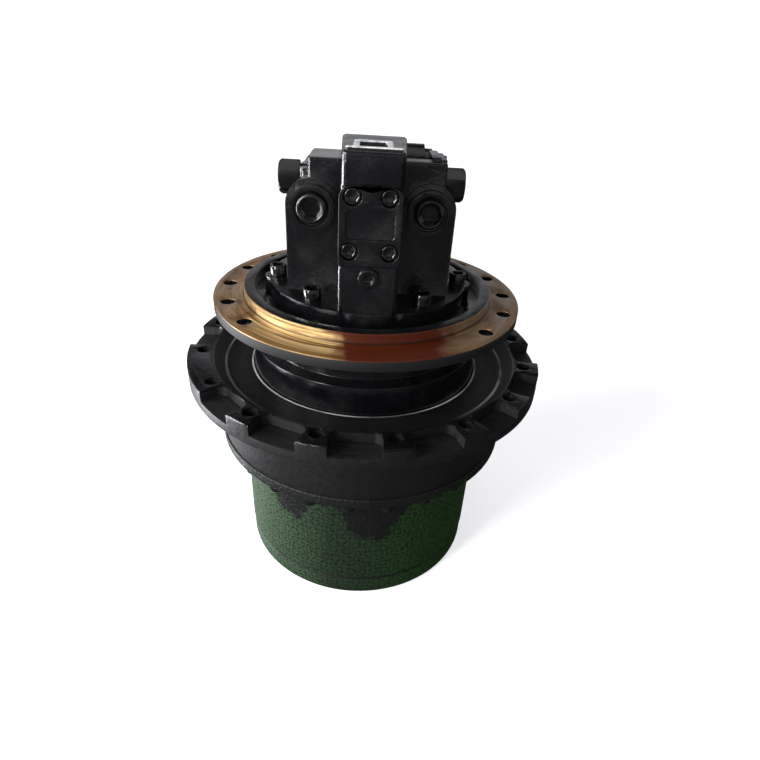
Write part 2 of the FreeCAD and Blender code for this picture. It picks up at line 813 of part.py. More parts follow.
def make_swash_plate():
    """Two-position swash plate, carried on its pivot balls and the speed piston."""
    plate = ring(swash_plate_radius, swash_plate_bore_radius, swash_underside, swash_face)
    reach = swash_plate_radius + 2 * edge_break
    relief = rounded_block((-reach, reach), (-reach, -swash_relief_setback),
                           (swash_underside - through, swash_face - swash_rim_thickness), edge_break)
    return plate.cut(pivot_balls(running_clearance) + [relief])


def make_speed_piston():
    body = disc(speed_piston_radius, floor_level - speed_piston_length, swash_underside,
                point(0, speed_piston_offset, 0))
    return body.makeChamfer(0.8, [body.Edges[0]])


def make_separator_plates():
    plates = []
    for index in range(separator_count):
        low = -brake_bore_depth + index * brake_stack_pitch
        plates.append(ring(brake_bore_radius, separator_inner_radius, low, low + separator_plate_thickness))
    return group(plates)


def make_friction_plates():
    plates = []
    for index in range(friction_plate_count):
        low = -brake_bore_depth + index * brake_stack_pitch + separator_plate_thickness + axial_clearance
        plates.append(ring(friction_plate_radius, block_radius, low, low + friction_plate_thickness))
    return group(plates)


def make_brake_piston():
    outer = brake_bore_radius - running_clearance
    middle = (brake_stack_top + brake_piston_top) / 2
    half = brake_seal_groove / 2
    floor = outer - brake_seal_groove
    return revolve([
        (brake_piston_inner_radius, brake_stack_top), (outer, brake_stack_top),
        (outer, middle - half), (floor, middle - half), (floor, middle + half), (outer, middle + half),
        (outer, brake_piston_top), (brake_piston_inner_radius, brake_piston_top),
    ])


def make_brake_disc_spring():
    """Coned spring washer between the rear cover and the brake piston."""
    inner = brake_piston_inner_radius + 3
    outer = brake_bore_radius - 2
    return revolve([(inner, brake_piston_top), (inner + 3, brake_piston_top), (outer, -disc_spring_thickness),
                    (outer, 0), (outer - 3, 0), (inner, brake_piston_top + disc_spring_thickness)])


# ------------------------------------------------------- motor shaft and pinion
def make_motor_shaft():
    return revolve([
        (0, shaft_rear_length), (shaft_rear_radius, shaft_rear_length), (shaft_rear_radius, 0),
        (shaft_radius, 0), (shaft_radius, floor_level + 2), (shaft_bearing_seat_radius, floor_level),
        (shaft_bearing_seat_radius, shaft_bearing_bottom), (shaft_radius + 2, shaft_bearing_bottom),
        (shaft_radius + 2, shaft_seal_bottom), (shaft_end_radius, nose_pocket_top),
        (shaft_end_radius, shaft_end), (0, shaft_end),
    ])


def make_shaft_bearing_outer_ring():
    return ring(shaft_bearing_outer_radius, shaft_outer_track, shaft_bearing_bottom, floor_level)


def make_shaft_bearing_inner_ring():
    return ring(shaft_inner_track, shaft_bearing_seat_radius, shaft_bearing_bottom + axial_clearance,
                floor_level)


def make_shaft_bearing_rollers():
    middle = (shaft_inner_track + shaft_outer_track) / 2
    low = shaft_bearing_bottom + shaft_roller_end_gap
    roller = disc(shaft_roller_radius, low, floor_level - shaft_roller_end_gap, on_circle(middle, 0))
    return group(around(roller, shaft_roller_count))


def make_shaft_seal():
    lip = shaft_radius + 2 + 2 * running_clearance
    inside = shaft_seal_radius - shaft_seal_lip
    web = shaft_seal_bottom + shaft_seal_lip
    return revolve([
        (lip, shaft_seal_bottom), (shaft_seal_radius, shaft_seal_bottom),
        (shaft_seal_radius, shaft_bearing_bottom), (inside, shaft_bearing_bottom), (inside, web),
        (lip + shaft_seal_lip, web), (lip, shaft_seal_bottom + shaft_seal_width / 2),
    ])


def make_shaft_rear_bush():
    return ring(shaft_rear_radius + rear_bush_wall, shaft_rear_radius + running_clearance, 2,
                shaft_rear_length)


def make_shaft_coupling():
    """Sleeve that joins the motor shaft's end to the pinion shaft."""
    sleeve = revolve([
        (shaft_end_radius, coupling_top), (coupling_outer_radius, coupling_top),
        (coupling_outer_radius, coupling_bottom), (pinion_shaft_radius, coupling_bottom),
        (pinion_shaft_radius, pinion_top), (shaft_end_radius, pinion_top),
    ])
    return sleeve


def make_first_sun_gear():
    """Pinion cut in one piece with the long shaft that passes the second sun."""
    tooth_phase = first_planet_phase + 180.0 / first_sun_teeth
    teeth = external_gear(first_sun_teeth, first_lower_plate_top, first_gear_top, tooth_phase)
    shaft = disc(pinion_shaft_radius, first_gear_top, pinion_top)
    tail = disc(pinion_tail_radius, pinion_end, first_lower_plate_top)
    return joined([teeth, shaft, tail])


# -------------------------------------------------------------- second stage
def make_second_sun_gear():
    """Sun whose lower end is carried and driven by the first carrier's hub."""
    low = first_plate_bottom + sun_seat_lip
    teeth = external_gear(second_sun_teeth, low, second_gear_top, second_planet_phase)
    return teeth.cut(disc(second_sun_bore_radius, low - through, second_gear_top + through))


def planet_angle(phase, index):
    return phase + index * 360.0 / planets_per_stage


def carrier(outer, upper_range, lower_range, centre_distance, pin_radius, phase, bores):
    """Two plates, the webs that join them between the planets, and the pin bores."""
    upper_bore, lower_bore = bores
    upper = ring(outer, upper_bore, upper_range[0], upper_range[1])
    lower = ring(outer, lower_bore, lower_range[0], lower_range[1])
    webs = [annular_sector(outer - carrier_web_width, outer, carrier_web_half_angle, lower_range[1],
                           upper_range[0], planet_angle(phase, index + 0.5))
            for index in range(planets_per_stage)]
    pins = [disc(pin_radius, lower_range[0] - through, upper_range[1] + through,
                 on_circle(centre_distance, planet_angle(phase, index)))
            for index in range(planets_per_stage)]
    return joined([upper, lower] + webs).cut(pins)


def make_second_carrier():
    body = carrier(second_carrier_radius, (second_plate_bottom, nose_end),
                   (second_carrier_end, second_lower_plate_top), second_centre_distance, second_pin_radius,
                   second_planet_phase, (second_carrier_hub_radius, second_carrier_hub_radius))
    return body.cut(carrier_screw_holes())


def make_second_carrier_bolts():
    return group([cap_screw(carrier_screw, seat, UP, carrier_screw_grip()) for seat in carrier_screw_seats()])


def planet_pins(phase, centre_distance, radius, low, high):
    return group([disc(radius, low, high, on_circle(centre_distance, planet_angle(phase, index)))
                  for index in range(planets_per_stage)])


def thrust_washers(phase, centre_distance, pin_radius, plate_faces):
    """One washer on each plate face, clear of the gear beside it."""
    washers = []
    thickness = thrust_washer_thickness - axial_clearance
    for index in range(planets_per_stage):
        centre = on_circle(centre_distance, planet_angle(phase, index))
        for low, high in ((plate_faces[0] - thickness, plate_faces[0]),
                          (plate_faces[1], plate_faces[1] + thickness)):
            washer = disc(pin_radius + thrust_washer_width, low, high, centre)
            washers.append(washer.cut(disc(pin_radius, low - through, high + through, centre)))
    return group(washers)


def planet_gear(teeth, angle, centre_distance, pin_radius, low, high):
    """Planet with a tooth pointing straight out along its own line."""
    gear = external_gear(teeth, low, high, angle)
    gear = gear.cut(disc(pin_radius + running_clearance, low - through, high + through))
    gear.translate(on_circle(centre_distance, angle))
    return gear


def save_planets(stage, teeth, phase, centre_distance, pin_radius, low, high):
    for index in range(planets_per_stage):
        gear = planet_gear(teeth, planet_angle(phase, index), centre_distance, pin_radius, low, high)
        save(stage + "_planet_gear_" + "abc"[index], gear)


# --------------------------------------------------------------- first stage
def make_first_carrier():
    lip_radius = min(sun_seat_lip_radius, module * second_sun_teeth / 2 - dedendum_ratio * module - 1)
    body = carrier(first_carrier_radius, (first_plate_bottom, first_plate_top),
                   (first_carrier_end, first_lower_plate_top), first_centre_distance, first_pin_radius,
                   first_planet_phase, (lip_radius, first_lower_hub_radius))
    seat = external_gear(second_sun_teeth, first_plate_bottom + sun_seat_lip, first_plate_top + through,
                         second_planet_phase, running_clearance)
    return body.cut(seat)


# ------------------------------------------------------------- main bearings
def roller_axis(upper):
    """Centre and direction, as (radius, z), of a roller in the upper or lower bearing."""
    tilt = math.radians(main_roller_tilt)
    if upper:
        return (bearing_mean_radius, bearing_top - bearing_width / 2), (math.sin(tilt), math.cos(tilt))
    return (bearing_mean_radius, nose_end + bearing_width / 2), (-math.sin(tilt), math.cos(tilt))


def raceway(upper, side):
    """Two (radius, z) points of the track on the outer (+1) or inner (-1) side."""
    (radius, z), (along_r, along_z) = roller_axis(upper)
    offset = side * (main_roller_radius + raceway_clearance)
    half = main_roller_length
    ends = []
    for end in (1, -1):
        ends.append((radius + end * half * along_r + offset * along_z,
                     z + end * half * along_z - offset * along_r))
    return ends


def clipped(track, low, high):
    """Points where a raceway line crosses the two levels, top first."""
    (r_a, z_a), (r_b, z_b) = track
    slope = (r_a - r_b) / (z_a - z_b)
    return [(r_b + (level - z_b) * slope, level) for level in (high, low)]


def bearing_levels(upper):
    return (bearing_middle_top, bearing_top) if upper else (nose_end, bearing_middle_bottom)


def make_bearing_rings(side, wall_radius):
    rings = []
    for upper in (True, False):
        low, high = bearing_levels(upper)
        top_point, bottom_point = clipped(raceway(upper, side), low, high)
        rings.append(revolve([(wall_radius, low), (wall_radius, high), top_point, bottom_point]))
    return group(rings)


def make_main_bearing_rollers():
    rollers = []
    for upper in (True, False):
        (radius, z), (along_r, along_z) = roller_axis(upper)
        direction = point(along_r, 0, along_z)
        start = point(radius, 0, z) - direction * (main_roller_length / 2)
        rollers += around(rod(main_roller_radius, start, direction, main_roller_length), main_roller_count)
    return group(rollers)


# ----------------------------------------------------------------- face seal
def seal_face_level():
    return (collar_bottom + seal_cavity_depth - seal_ring_tail_length - seal_ring_face_thickness
            - 2 * axial_clearance)


def seal_ring(direction):
    """Seal ring above (+1) or below (-1) the running face."""
    face = seal_face_level() + direction * running_clearance
    shoulder = face + direction * seal_ring_face_thickness
    tail = shoulder + direction * seal_ring_tail_length
    return revolve([(seal_ring_inner_radius, face), (seal_ring_face_radius, face),
                    (seal_ring_face_radius, shoulder), (seal_ring_tail_radius, shoulder),
                    (seal_ring_tail_radius, tail), (seal_ring_inner_radius, tail)])


def seal_o_ring(direction):
    offset = seal_ring_face_thickness + seal_o_ring_radius + running_clearance
    level = seal_face_level() + direction * offset
    middle = (seal_cavity_radius + seal_ring_tail_radius) / 2
    radius = min(seal_o_ring_radius, (seal_cavity_radius - seal_ring_tail_radius) / 2)
    return Part.makeTorus(middle, radius, point(0, 0, level))


# ------------------------------------------------------------- sprocket drum
def drum_pocket(middle):
    """Pocket between two bolt pads, open at the rim, with rounded inner corners."""
    outer = sprocket_flange_radius + 2 * pocket_corner_radius
    half = sprocket_flange_radius * math.tan(math.radians(pocket_half_angle))
    block = rounded_block((pocket_inner_radius, outer), (-half, half), (pocket_floor, pad_top + through),
                          pocket_corner_radius)
    return turned(block, middle)


def make_sprocket_drum():
    mouth = collar_bottom_radius + labyrinth_gap
    drum = revolve([
        (mouth, dish_floor),
        (dish_ridge_radius - dish_ridge_height, dish_floor),
        (dish_ridge_radius, dish_floor + dish_ridge_height),
        (dish_ridge_radius + dish_ridge_width, dish_floor + dish_ridge_height),
        (pad_inner_radius - pad_chamfer, pad_top - pad_chamfer),
        (pad_inner_radius, pad_top),
        (sprocket_flange_radius - edge_break, pad_top),
        (sprocket_flange_radius, pad_top - edge_break),
        (sprocket_flange_radius, flange_underside + edge_break),
        (sprocket_flange_radius - edge_break, flange_underside),
        (drum_pilot_radius, flange_underside),
        (drum_pilot_radius, flange_underside - drum_pilot_length),
        (drum_wall_radius, flange_underside - drum_pilot_length - drum_wall_taper),
        (drum_wall_radius, ring_top),
        (bearing_outer_radius, ring_top),
        (bearing_outer_radius, bearing_middle_bottom),
        (bearing_outer_radius - bearing_rib_height, bearing_middle_bottom),
        (bearing_outer_radius - bearing_rib_height, bearing_middle_top),
        (bearing_outer_radius, bearing_middle_top),
        (bearing_outer_radius, bearing_top),
        (seal_cavity_radius, bearing_top),
        (seal_cavity_radius, collar_bottom - labyrinth_depth),
        (mouth, collar_bottom - labyrinth_depth),
    ])
    pitch = 360.0 / sprocket_bolt_count
    pockets = [drum_pocket(sprocket_bolt_phase + (index + 0.5) * pitch)
               for index in range(sprocket_bolt_count) if index % (sprocket_bolt_count // 2) != 0]
    holes = around(disc(sprocket_bolt_hole_radius, flange_underside - through, pad_top + through,
                        on_circle(sprocket_bolt_circle_radius, 0)), sprocket_bolt_count, sprocket_bolt_phase)
    return drum.cut(pockets + holes + ring_screw_holes())


# ----------------------------------------------------------------- ring gear
def ring_screw_grip():
    return ring_flange_thickness + screw_grip * 2 * ring_gear_screw[0]


def ring_screw_holes():
    hole = disc(ring_gear_screw[0], ring_flange_bottom - through,
                ring_flange_bottom + ring_screw_grip() + through, on_circle(ring_bolt_circle_radius, 0))
    return around(hole, ring_bolt_count, ring_bolt_phase)


def make_ring_gear():
    spigot_bore = ring_root_radius + cover_spigot_step
    body = revolve([
        (ring_top_bore_radius, ring_top),
        (ring_flange_radius - edge_break, ring_top),
        (ring_flange_radius, ring_top - edge_break),
        (ring_flange_radius, ring_flange_bottom + edge_break),
        (ring_flange_radius - edge_break, ring_flange_bottom),
        (ring_outer_radius + ring_flange_root_chamfer, ring_flange_bottom),
        (ring_outer_radius, ring_flange_bottom - ring_flange_root_chamfer),
        (ring_outer_radius, ring_bottom + seam_chamfer),
        (ring_outer_radius - seam_chamfer, ring_bottom),
        (spigot_bore, ring_bottom),
        (spigot_bore, ring_tooth_bottom),
        (ring_tip_radius, ring_tooth_bottom),
        (ring_tip_radius, ring_tooth_top),
        (ring_top_bore_radius, ring_tooth_top),
    ])
    cover_holes = around(disc(end_cover_screw[0], ring_bottom - through, ring_bottom + cover_bolt_depth,
                              on_circle(cover_bolt_circle_radius, 0)), cover_bolt_count)
    return body.cut([internal_tooth_spaces(ring_tooth_bottom - through, ring_tooth_top + through)]
                    + ring_screw_holes() + cover_holes)


def make_ring_gear_bolts():
    seat = on_circle(ring_bolt_circle_radius, 0, ring_flange_bottom)
    return group(around(cap_screw(ring_gear_screw, seat, UP, ring_screw_grip()), ring_bolt_count,
                        ring_bolt_phase))


# ----------------------------------------------------------------- end cover
def cover_screw_seat():
    return on_circle(cover_bolt_circle_radius, 0, cover_bottom + end_cover_screw[2] + edge_break)


def cover_plug_centres():
    return [on_circle(cover_plug_circle_radius, angle) for angle in (-90, 30, 150)]


def make_end_cover():
    spigot = ring_root_radius + cover_spigot_step - running_clearance
    inside = spigot - cover_wall
    floor = cover_bottom + cover_plate_thickness
    stop = pinion_end - axial_clearance
    body = revolve([
        (0, cover_bottom), (cover_radius - cover_edge_chamfer, cover_bottom),
        (cover_radius, cover_bottom + cover_edge_chamfer), (cover_radius, ring_bottom - seam_chamfer),
        (cover_radius - seam_chamfer, ring_bottom), (spigot, ring_bottom),
        (spigot, ring_bottom + cover_spigot_height), (inside, ring_bottom + cover_spigot_height),
        (inside, floor), (cover_boss_radius, floor), (cover_boss_radius, stop), (0, stop),
    ])
    seat = cover_screw_seat()
    counterbore = disc(end_cover_screw[1] + edge_break, cover_bottom - through, seat.z, seat)
    shank = disc(end_cover_screw[0], cover_bottom, ring_bottom + through, seat)
    plugs = [disc(cover_plug_radius, cover_bottom - through, floor + through, centre)
             for centre in cover_plug_centres()]
    return body.cut(around(counterbore.fuse(shank), cover_bolt_count) + plugs)


def make_end_cover_bolts():
    seat = cover_screw_seat()
    grip = ring_bottom - seat.z + screw_grip * 2 * end_cover_screw[0]
    return group(around(cap_screw(end_cover_screw, seat, UP, grip), cover_bolt_count))


def make_end_cover_plugs():
    """Fill, level and drain plugs, set just under the cover's resting face."""
    plugs = []
    for centre in cover_plug_centres():
        face = cover_bottom + edge_break
        body = disc(cover_plug_radius, face, cover_bottom + cover_plate_thickness - edge_break, centre)
        socket = hexagonal_rod(cover_plug_flats, centre + UP * (face - through), UP,
                               cover_plug_socket_depth + through)
        plugs.append(body.cut(socket))
    return group(plugs)


# ---------------------------------------------------------------- rear cover
def arch(centre_x, spring_line, radius, low, front, back):
    """Upright slab with a round top, standing across the Y axis."""
    left = centre_x - radius
    right = centre_x + radius
    outline = Part.Wire([
        Part.makeLine(point(left, -front, low), point(left, -front, spring_line)),
        Part.Arc(point(left, -front, spring_line), point(centre_x, -front, spring_line + radius),
                 point(right, -front, spring_line)).toShape(),
        Part.makeLine(point(right, -front, spring_line), point(right, -front, low)),
        Part.makeLine(point(right, -front, low), point(left, -front, low)),
    ])
    return Part.Face(outline).extrude(point(0, front - back, 0))


def tapered_body():
    """Lower body, drafted so that its sides lean in towards the top."""
    wires = []
    for draft, level in ((0.0, base_plate_height), (1.0, body_top)):
        half_width = body_half_width - draft * body_draft
        block = rounded_block((-half_width, half_width), (-body_front, body_back - draft * body_back_draft),
                              (level, level + edge_break), body_corner_radius)
        base = [face for face in block.Faces if abs(face.CenterOfMass.z - level) < 1e-6][0]
        wires.append(base.OuterWire)
    return Part.makeLoft(wires, True)


def port_columns():
    """Round-topped column with a raised boss round each work port."""
    shapes = []
    for side in (-1, 1):
        shapes.append(arch(side * port_offset, body_top, port_column_radius, base_plate_height,
                           body_front, upper_front - 2 * edge_break))
        shapes.append(rod(port_boss_radius, port_face(side, 0), FRONT, port_boss_height))
    return shapes


def port_face(side, height=port_boss_height):
    """Centre of a work port, so far in front of its column."""
    return point(side * port_offset, -body_front - height, port_height)


def valve_head():
    """Head above the valve cover, wider behind, with a raised rim round a cast pocket."""
    front = head_front_half_width
    back = head_back_half_width
    corners = [(head_side_shift - front, -head_front), (head_side_shift + front, -head_front),
               (head_side_shift + back, head_back), (head_side_shift - back, head_back)]
    body = rounded_prism(corners, (upper_top, head_top), head_corner_radius, head_edge_radius)
    rim_front = head_front - head_rim_setback
    rim = rounded_block((-head_rim_half_width, head_rim_half_width),
                        (-rim_front, head_rim_length - rim_front),
                        (head_top - edge_break, head_top + head_rim_height), head_rim_height, edge_break)
    reach = front - head_edge_radius
    lip = rounded_block((head_side_shift - reach, head_side_shift + reach),
                        (-rim_front, head_pocket_margin - rim_front),
                        (head_top - edge_break, head_top + head_rim_height), 2 * edge_break, edge_break)
    return [body, rim, lip]


def valve_block():
    """Upper body, the centre that carries the valve cover, and the shoulders."""
    low = body_top - body_corner_radius
    upper = rounded_block((-upper_half_width, upper_half_width), (-upper_front, head_back),
                          (low, upper_top), head_corner_radius)
    back = rounded_block((-upper_half_width, speed_boss_end - 2 * edge_break),
                         (0, body_back - upper_back_setback), (low, upper_top), body_corner_radius,
                         shoulder_edge_radius)
    centre = rounded_block((-centre_half_width, centre_half_width), (-centre_front, 0),
                           (centre_bottom, upper_top), valve_cover_gap * 8)
    foot = rounded_block((-valve_cover_half_width, valve_cover_half_width), (-valve_cover_face, -body_front),
                         (centre_bottom, valve_cover_bottom - valve_cover_gap), valve_cover_gap * 8)
    root = centre_half_width - 2 * edge_break
    left = rounded_block((left_shoulder_inset - upper_half_width, -root), (-shoulder_front, head_back),
                         (body_top, shoulder_top), shoulder_edge_radius + edge_break, shoulder_edge_radius)
    right_back = right_shoulder_depth - shoulder_front
    right = rounded_block((root, upper_half_width - right_shoulder_inset), (-shoulder_front, right_back),
                          (body_top, shoulder_top), shoulder_edge_radius + edge_break, shoulder_edge_radius)
    return [upper, back, centre, foot, left, right] + right_steps(right_back)


def right_steps(front):
    """Two low steps behind the right shoulder, the outer one lower."""
    steps = []
    outer = upper_half_width - right_shoulder_inset
    for width, height in zip(right_step_widths, right_step_heights):
        steps.append(rounded_block((outer - width, outer), (front - body_corner_radius, head_back),
                                   (body_top, shoulder_top + height), edge_break, edge_break))
        outer -= width
    return steps


def make_rear_cover():
    base = disc(base_plate_radius, 0, base_plate_height)
    ears = [disc(ear_radius, 0, base_plate_height, centre) for centre in ear_centres()]
    speed_boss = rod(speed_boss_radius, point(speed_boss_start, -speed_valve_setback, speed_valve_height),
                     RIGHT, speed_boss_end - speed_boss_start)
    drains = [rod(drain_boss_radius, drain_point(side, -drain_boss_root), RIGHT * side,
                  drain_boss_root + drain_boss_reach) for side in (-1, 1)]
    casting = joined([base, tapered_body(), speed_boss] + ears + port_columns() + valve_block()
                     + valve_head() + drains)
    return casting.cut(rear_cover_cuts())


def rear_cover_cuts():
    cuts = []
    for centre in base_screw_centres():
        cuts.append(disc(rear_cover_screw[0], -through, base_plate_height + through, centre))
        cuts.append(disc(rear_cover_screw[1] + spot_face_margin, base_plate_height,
                         base_plate_height + spot_face_height, centre))
    bush_radius = shaft_rear_radius + rear_bush_wall
    cuts.append(disc(bush_radius, -through, shaft_rear_length))
    cuts.append(disc(shaft_rear_radius + rear_relief_step, shaft_rear_length - through,
                     shaft_rear_length + rear_relief_depth))
    pocket_front = head_front - head_rim_setback - head_pocket_margin
    cuts.append(rounded_block((-head_pocket_half_width, head_pocket_half_width),
                              (-pocket_front, head_pocket_length - pocket_front),
                              (head_top + head_rim_height - head_pocket_depth,
                               head_top + head_rim_height + through), 2 * edge_break))
    for side in (-1, 1):
        start = port_face(side, port_boss_height + through)
        cuts.append(rod(port_recess_radius, start, FRONT * -1, port_recess_depth + through))
        cuts.append(rod(port_plug_seat_radius, start, FRONT * -1,
                        port_recess_depth + port_plug_seat_depth + through))
    cuts += [rod(valve_cover_screw[0], point(x, -centre_front - through, z), FRONT * -1, valve_bolt_depth)
             for x, z in valve_bolt_centres()]
    return cuts + spool_bore_cuts() + speed_valve_cuts() + small_plug_bores()


def spool_point(x):
    return point(x, -spool_setback, spool_height)


def spool_bore_cuts():
    bore = rod(spool_bore_radius, spool_point(-upper_half_width), RIGHT, 2 * upper_half_width)
    cuts = [bore]
    for side in (-1, 1):
        face = side * upper_half_width
        cuts.append(rod(spool_plug_thread_radius, spool_point(face + side * through), RIGHT * -side,
                        spool_plug_thread_length + through))
        cuts.append(rod(spool_plug_corner_radius + spool_plug_clearance, spool_point(face), RIGHT * side,
                        spool_plug_head_length))
    return cuts


def speed_valve_point(x):
    return point(x, -speed_valve_setback, speed_valve_height)


def speed_valve_cuts():
    bore = rod(speed_bore_radius, speed_valve_point(speed_boss_start + speed_bore_setback), RIGHT,
               speed_boss_end - speed_boss_start)
    seat = rod(speed_cap_thread_radius, speed_valve_point(speed_boss_end - speed_cap_thread_length), RIGHT,
               speed_cap_thread_length + through)
    return [bore, seat]


def make_rear_cover_bolts():
    return group([cap_screw(rear_cover_screw, centre + UP * base_plate_height, UP * -1, base_screw_grip())
                  for centre in base_screw_centres()])


# --------------------------------------------------------- valve cover plate
def valve_bolt_centres():
    return [(side * offset, level) for offset, level in ((valve_bolt_low_offset, valve_bolt_low),
                                                         (valve_bolt_high_offset, valve_bolt_high))
            for side in (-1, 1)]


def facing_front(shape):
    """Turn a shape drawn flat, with its front upwards, to stand across the Y axis."""
    shape.rotate(point(0, 0, 0), RIGHT, 90)
    return shape


def make_valve_cover_plate():
    outline = [(-valve_cover_half_width, valve_cover_bottom), (valve_cover_half_width, valve_cover_bottom),
               (valve_cover_half_width, upper_top), (-valve_cover_half_width, upper_top)]
    plate = prism(outline, centre_front, valve_cover_face)
    corners = [edge for edge in plate.Edges if abs(edge.CenterOfMass.y - upper_top) < 1e-6
               and abs(edge.Vertexes[0].Z - edge.Vertexes[1].Z) > 1e-6]
    plate = plate.makeFillet(valve_cover_corner_radius, corners)
    scallop = disc(scallop_radius, centre_front - through, valve_cover_face + through,
                   point(0, upper_top + scallop_radius - scallop_depth, 0))
    middle = (valve_bolt_low + valve_bolt_high) / 2
    recess = rounded_block((-cover_recess_half_width, cover_recess_half_width),
                           (middle - cover_recess_height / 2, middle + cover_recess_height / 2),
                           (valve_cover_face - cover_recess_depth, valve_cover_face + through),
                           cover_recess_corner_radius)
    cuts = [scallop, recess]
    for x, z in valve_bolt_centres():
        cuts.append(disc(valve_cover_screw[0], centre_front - through, valve_cover_face, point(x, z, 0)))
        cuts.append(disc(valve_cover_screw[1] + valve_counterbore_margin,
                         valve_cover_face - valve_counterbore_depth, valve_cover_face + through,
                         point(x, z, 0)))
    return facing_front(plate.cut(cuts))


def make_valve_cover_bolts():
    seat = valve_cover_face - valve_counterbore_depth
    grip = seat - centre_front + valve_bolt_depth - 2 * through
    return group([cap_screw(valve_cover_screw, point(x, -seat, z), FRONT * -1, grip)
                  for x, z in valve_bolt_centres()])


# -------------------------------------------------------------- port plugs
def make_main_port_plugs():
    """Shipping plugs in the two work ports, each with a hexagonal socket."""
    plugs = []
    for side in (-1, 1):
        seat = port_face(side, port_boss_height - port_recess_depth)
        head = rod(port_plug_radius, seat, FRONT, port_plug_height)
        thread = rod(port_plug_seat_radius, seat, FRONT * -1, port_plug_seat_depth - 2 * through)
        socket = hexagonal_rod(port_plug_flats, seat + FRONT * (port_plug_height - port_plug_socket_depth),
                               FRONT, port_plug_socket_depth + through)
        plugs.append(joined([head, thread]).cut(socket))
    return group(plugs)


def drain_point(side, reach):
    """Point on a case drain's axis, so far outside the side of the body."""
    return point(side * (body_half_width + reach), drain_setback, drain_height)


def small_plug_places():
    """Start point, outward direction and radius of each small plug."""
    places = [(point(0, -valve_cover_face, valve_cover_bottom - front_plug_drop), FRONT, front_plug_radius)]
    for side in (-1, 1):
        places.append((drain_point(side, drain_boss_reach), RIGHT * side, drain_plug_radius))
    return places


def small_plug_bores():
    return [rod(radius * small_plug_stem_ratio, start + direction * through, direction * -1,
                small_plug_stem + 2 * through) for start, direction, radius in small_plug_places()]


def make_small_port_plugs():
    plugs = []
    for start, direction, radius in small_plug_places():
        head = rod(radius, start, direction, small_plug_head)
        stem = rod(radius * small_plug_stem_ratio, start, direction * -1, small_plug_stem)
        socket = hexagonal_rod(radius, start + direction * edge_break, direction, small_plug_head)
        plugs.append(joined([head, stem]).cut(socket))
    return group(plugs)


# ------------------------------------------------------ counterbalance valve
def make_counterbalance_spool():
    """Spool with three lands and two waists, along the X axis."""
    half = spool_half_length
    land = spool_land_length
    solids = [rod(spool_waist_radius, spool_point(-half), RIGHT, 2 * half)]
    solids += [rod(spool_radius, spool_point(start), RIGHT, land)
               for start in (-half, -land / 2, half - land)]
    return joined(solids)


def spring_room():
    """Distance from the centre to the plug's inner face."""
    return upper_half_width - spool_plug_thread_length


def make_spool_plug(side):
    """Hexagonal plug with a chamfered end, over the spool's centring spring."""
    face = spool_point(side * upper_half_width)
    outward = RIGHT * side
    blank = rod(spool_plug_corner_radius, face, outward, spool_plug_head_length)
    outer_rim = [edge for edge in blank.Edges if edge.Closed
                 and abs(edge.CenterOfMass.x) > upper_half_width + edge_break]
    blank = blank.makeChamfer(spool_plug_chamfer, outer_rim)
    head = blank.common(hexagonal_rod(spool_plug_flats, face, outward, spool_plug_head_length))
    thread = rod(spool_plug_thread_radius, face, outward * -1, spool_plug_thread_length)
    socket_floor = face + outward * (spool_plug_head_length - spool_plug_socket_depth)
    socket = rod(spool_plug_socket_radius, socket_floor, outward, spool_plug_socket_depth + through)
    return joined([head, thread]).cut(socket)


def make_spool_springs():
    """Centring springs between the spool's ends and the plugs, as stacked spring discs."""
    length = spring_room() - spool_half_length
    step = length / spool_spring_discs
    springs = []
    for side in (-1, 1):
        inner_edge = []
        outer_edge = []
        for index in range(spool_spring_discs + 1):
            wave = spool_spring_cone if index % 2 else 0.0
            inner_edge.append((spool_spring_inner_radius + wave, index * step))
            outer_edge.append((spool_spring_inner_radius + spool_spring_wall + wave, index * step))
        stack = revolve(inner_edge + outer_edge[::-1])
        stack.rotate(point(0, 0, 0), point(0, 1, 0), 90 * side)
        stack.translate(spool_point(side * spool_half_length))
        springs.append(stack)
    return group(springs)


# ---------------------------------------------------------- two-speed valve
def make_speed_change_spool():
    """Spool with one groove round its middle."""
    start = speed_boss_start + speed_bore_setback
    body = rod(speed_spool_radius, speed_valve_point(start), RIGHT, speed_spool_length)
    third = speed_spool_length / 3
    groove = rod(speed_spool_radius + through, speed_valve_point(start + third), RIGHT, third)
    core = rod(speed_spool_radius - speed_spool_groove, speed_valve_point(start + third), RIGHT, third)
    return body.cut(groove.cut(core))


def make_speed_valve_cap():
    """Round flange with a hexagon on it, hollow where the spool travels."""
    face = speed_valve_point(speed_boss_end)
    flange = rod(speed_cap_radius, face, RIGHT, speed_cap_length)
    nut = hexagonal_rod(speed_cap_flats, face, RIGHT, speed_cap_length + speed_cap_nut_length)
    thread = rod(speed_cap_thread_radius, face, RIGHT * -1, speed_cap_thread_length)
    room = rod(speed_spool_radius + through, face + RIGHT * -speed_cap_thread_length, RIGHT,
               speed_cap_thread_length + speed_cap_room)
    return joined([flange, nut, thread]).cut(room)


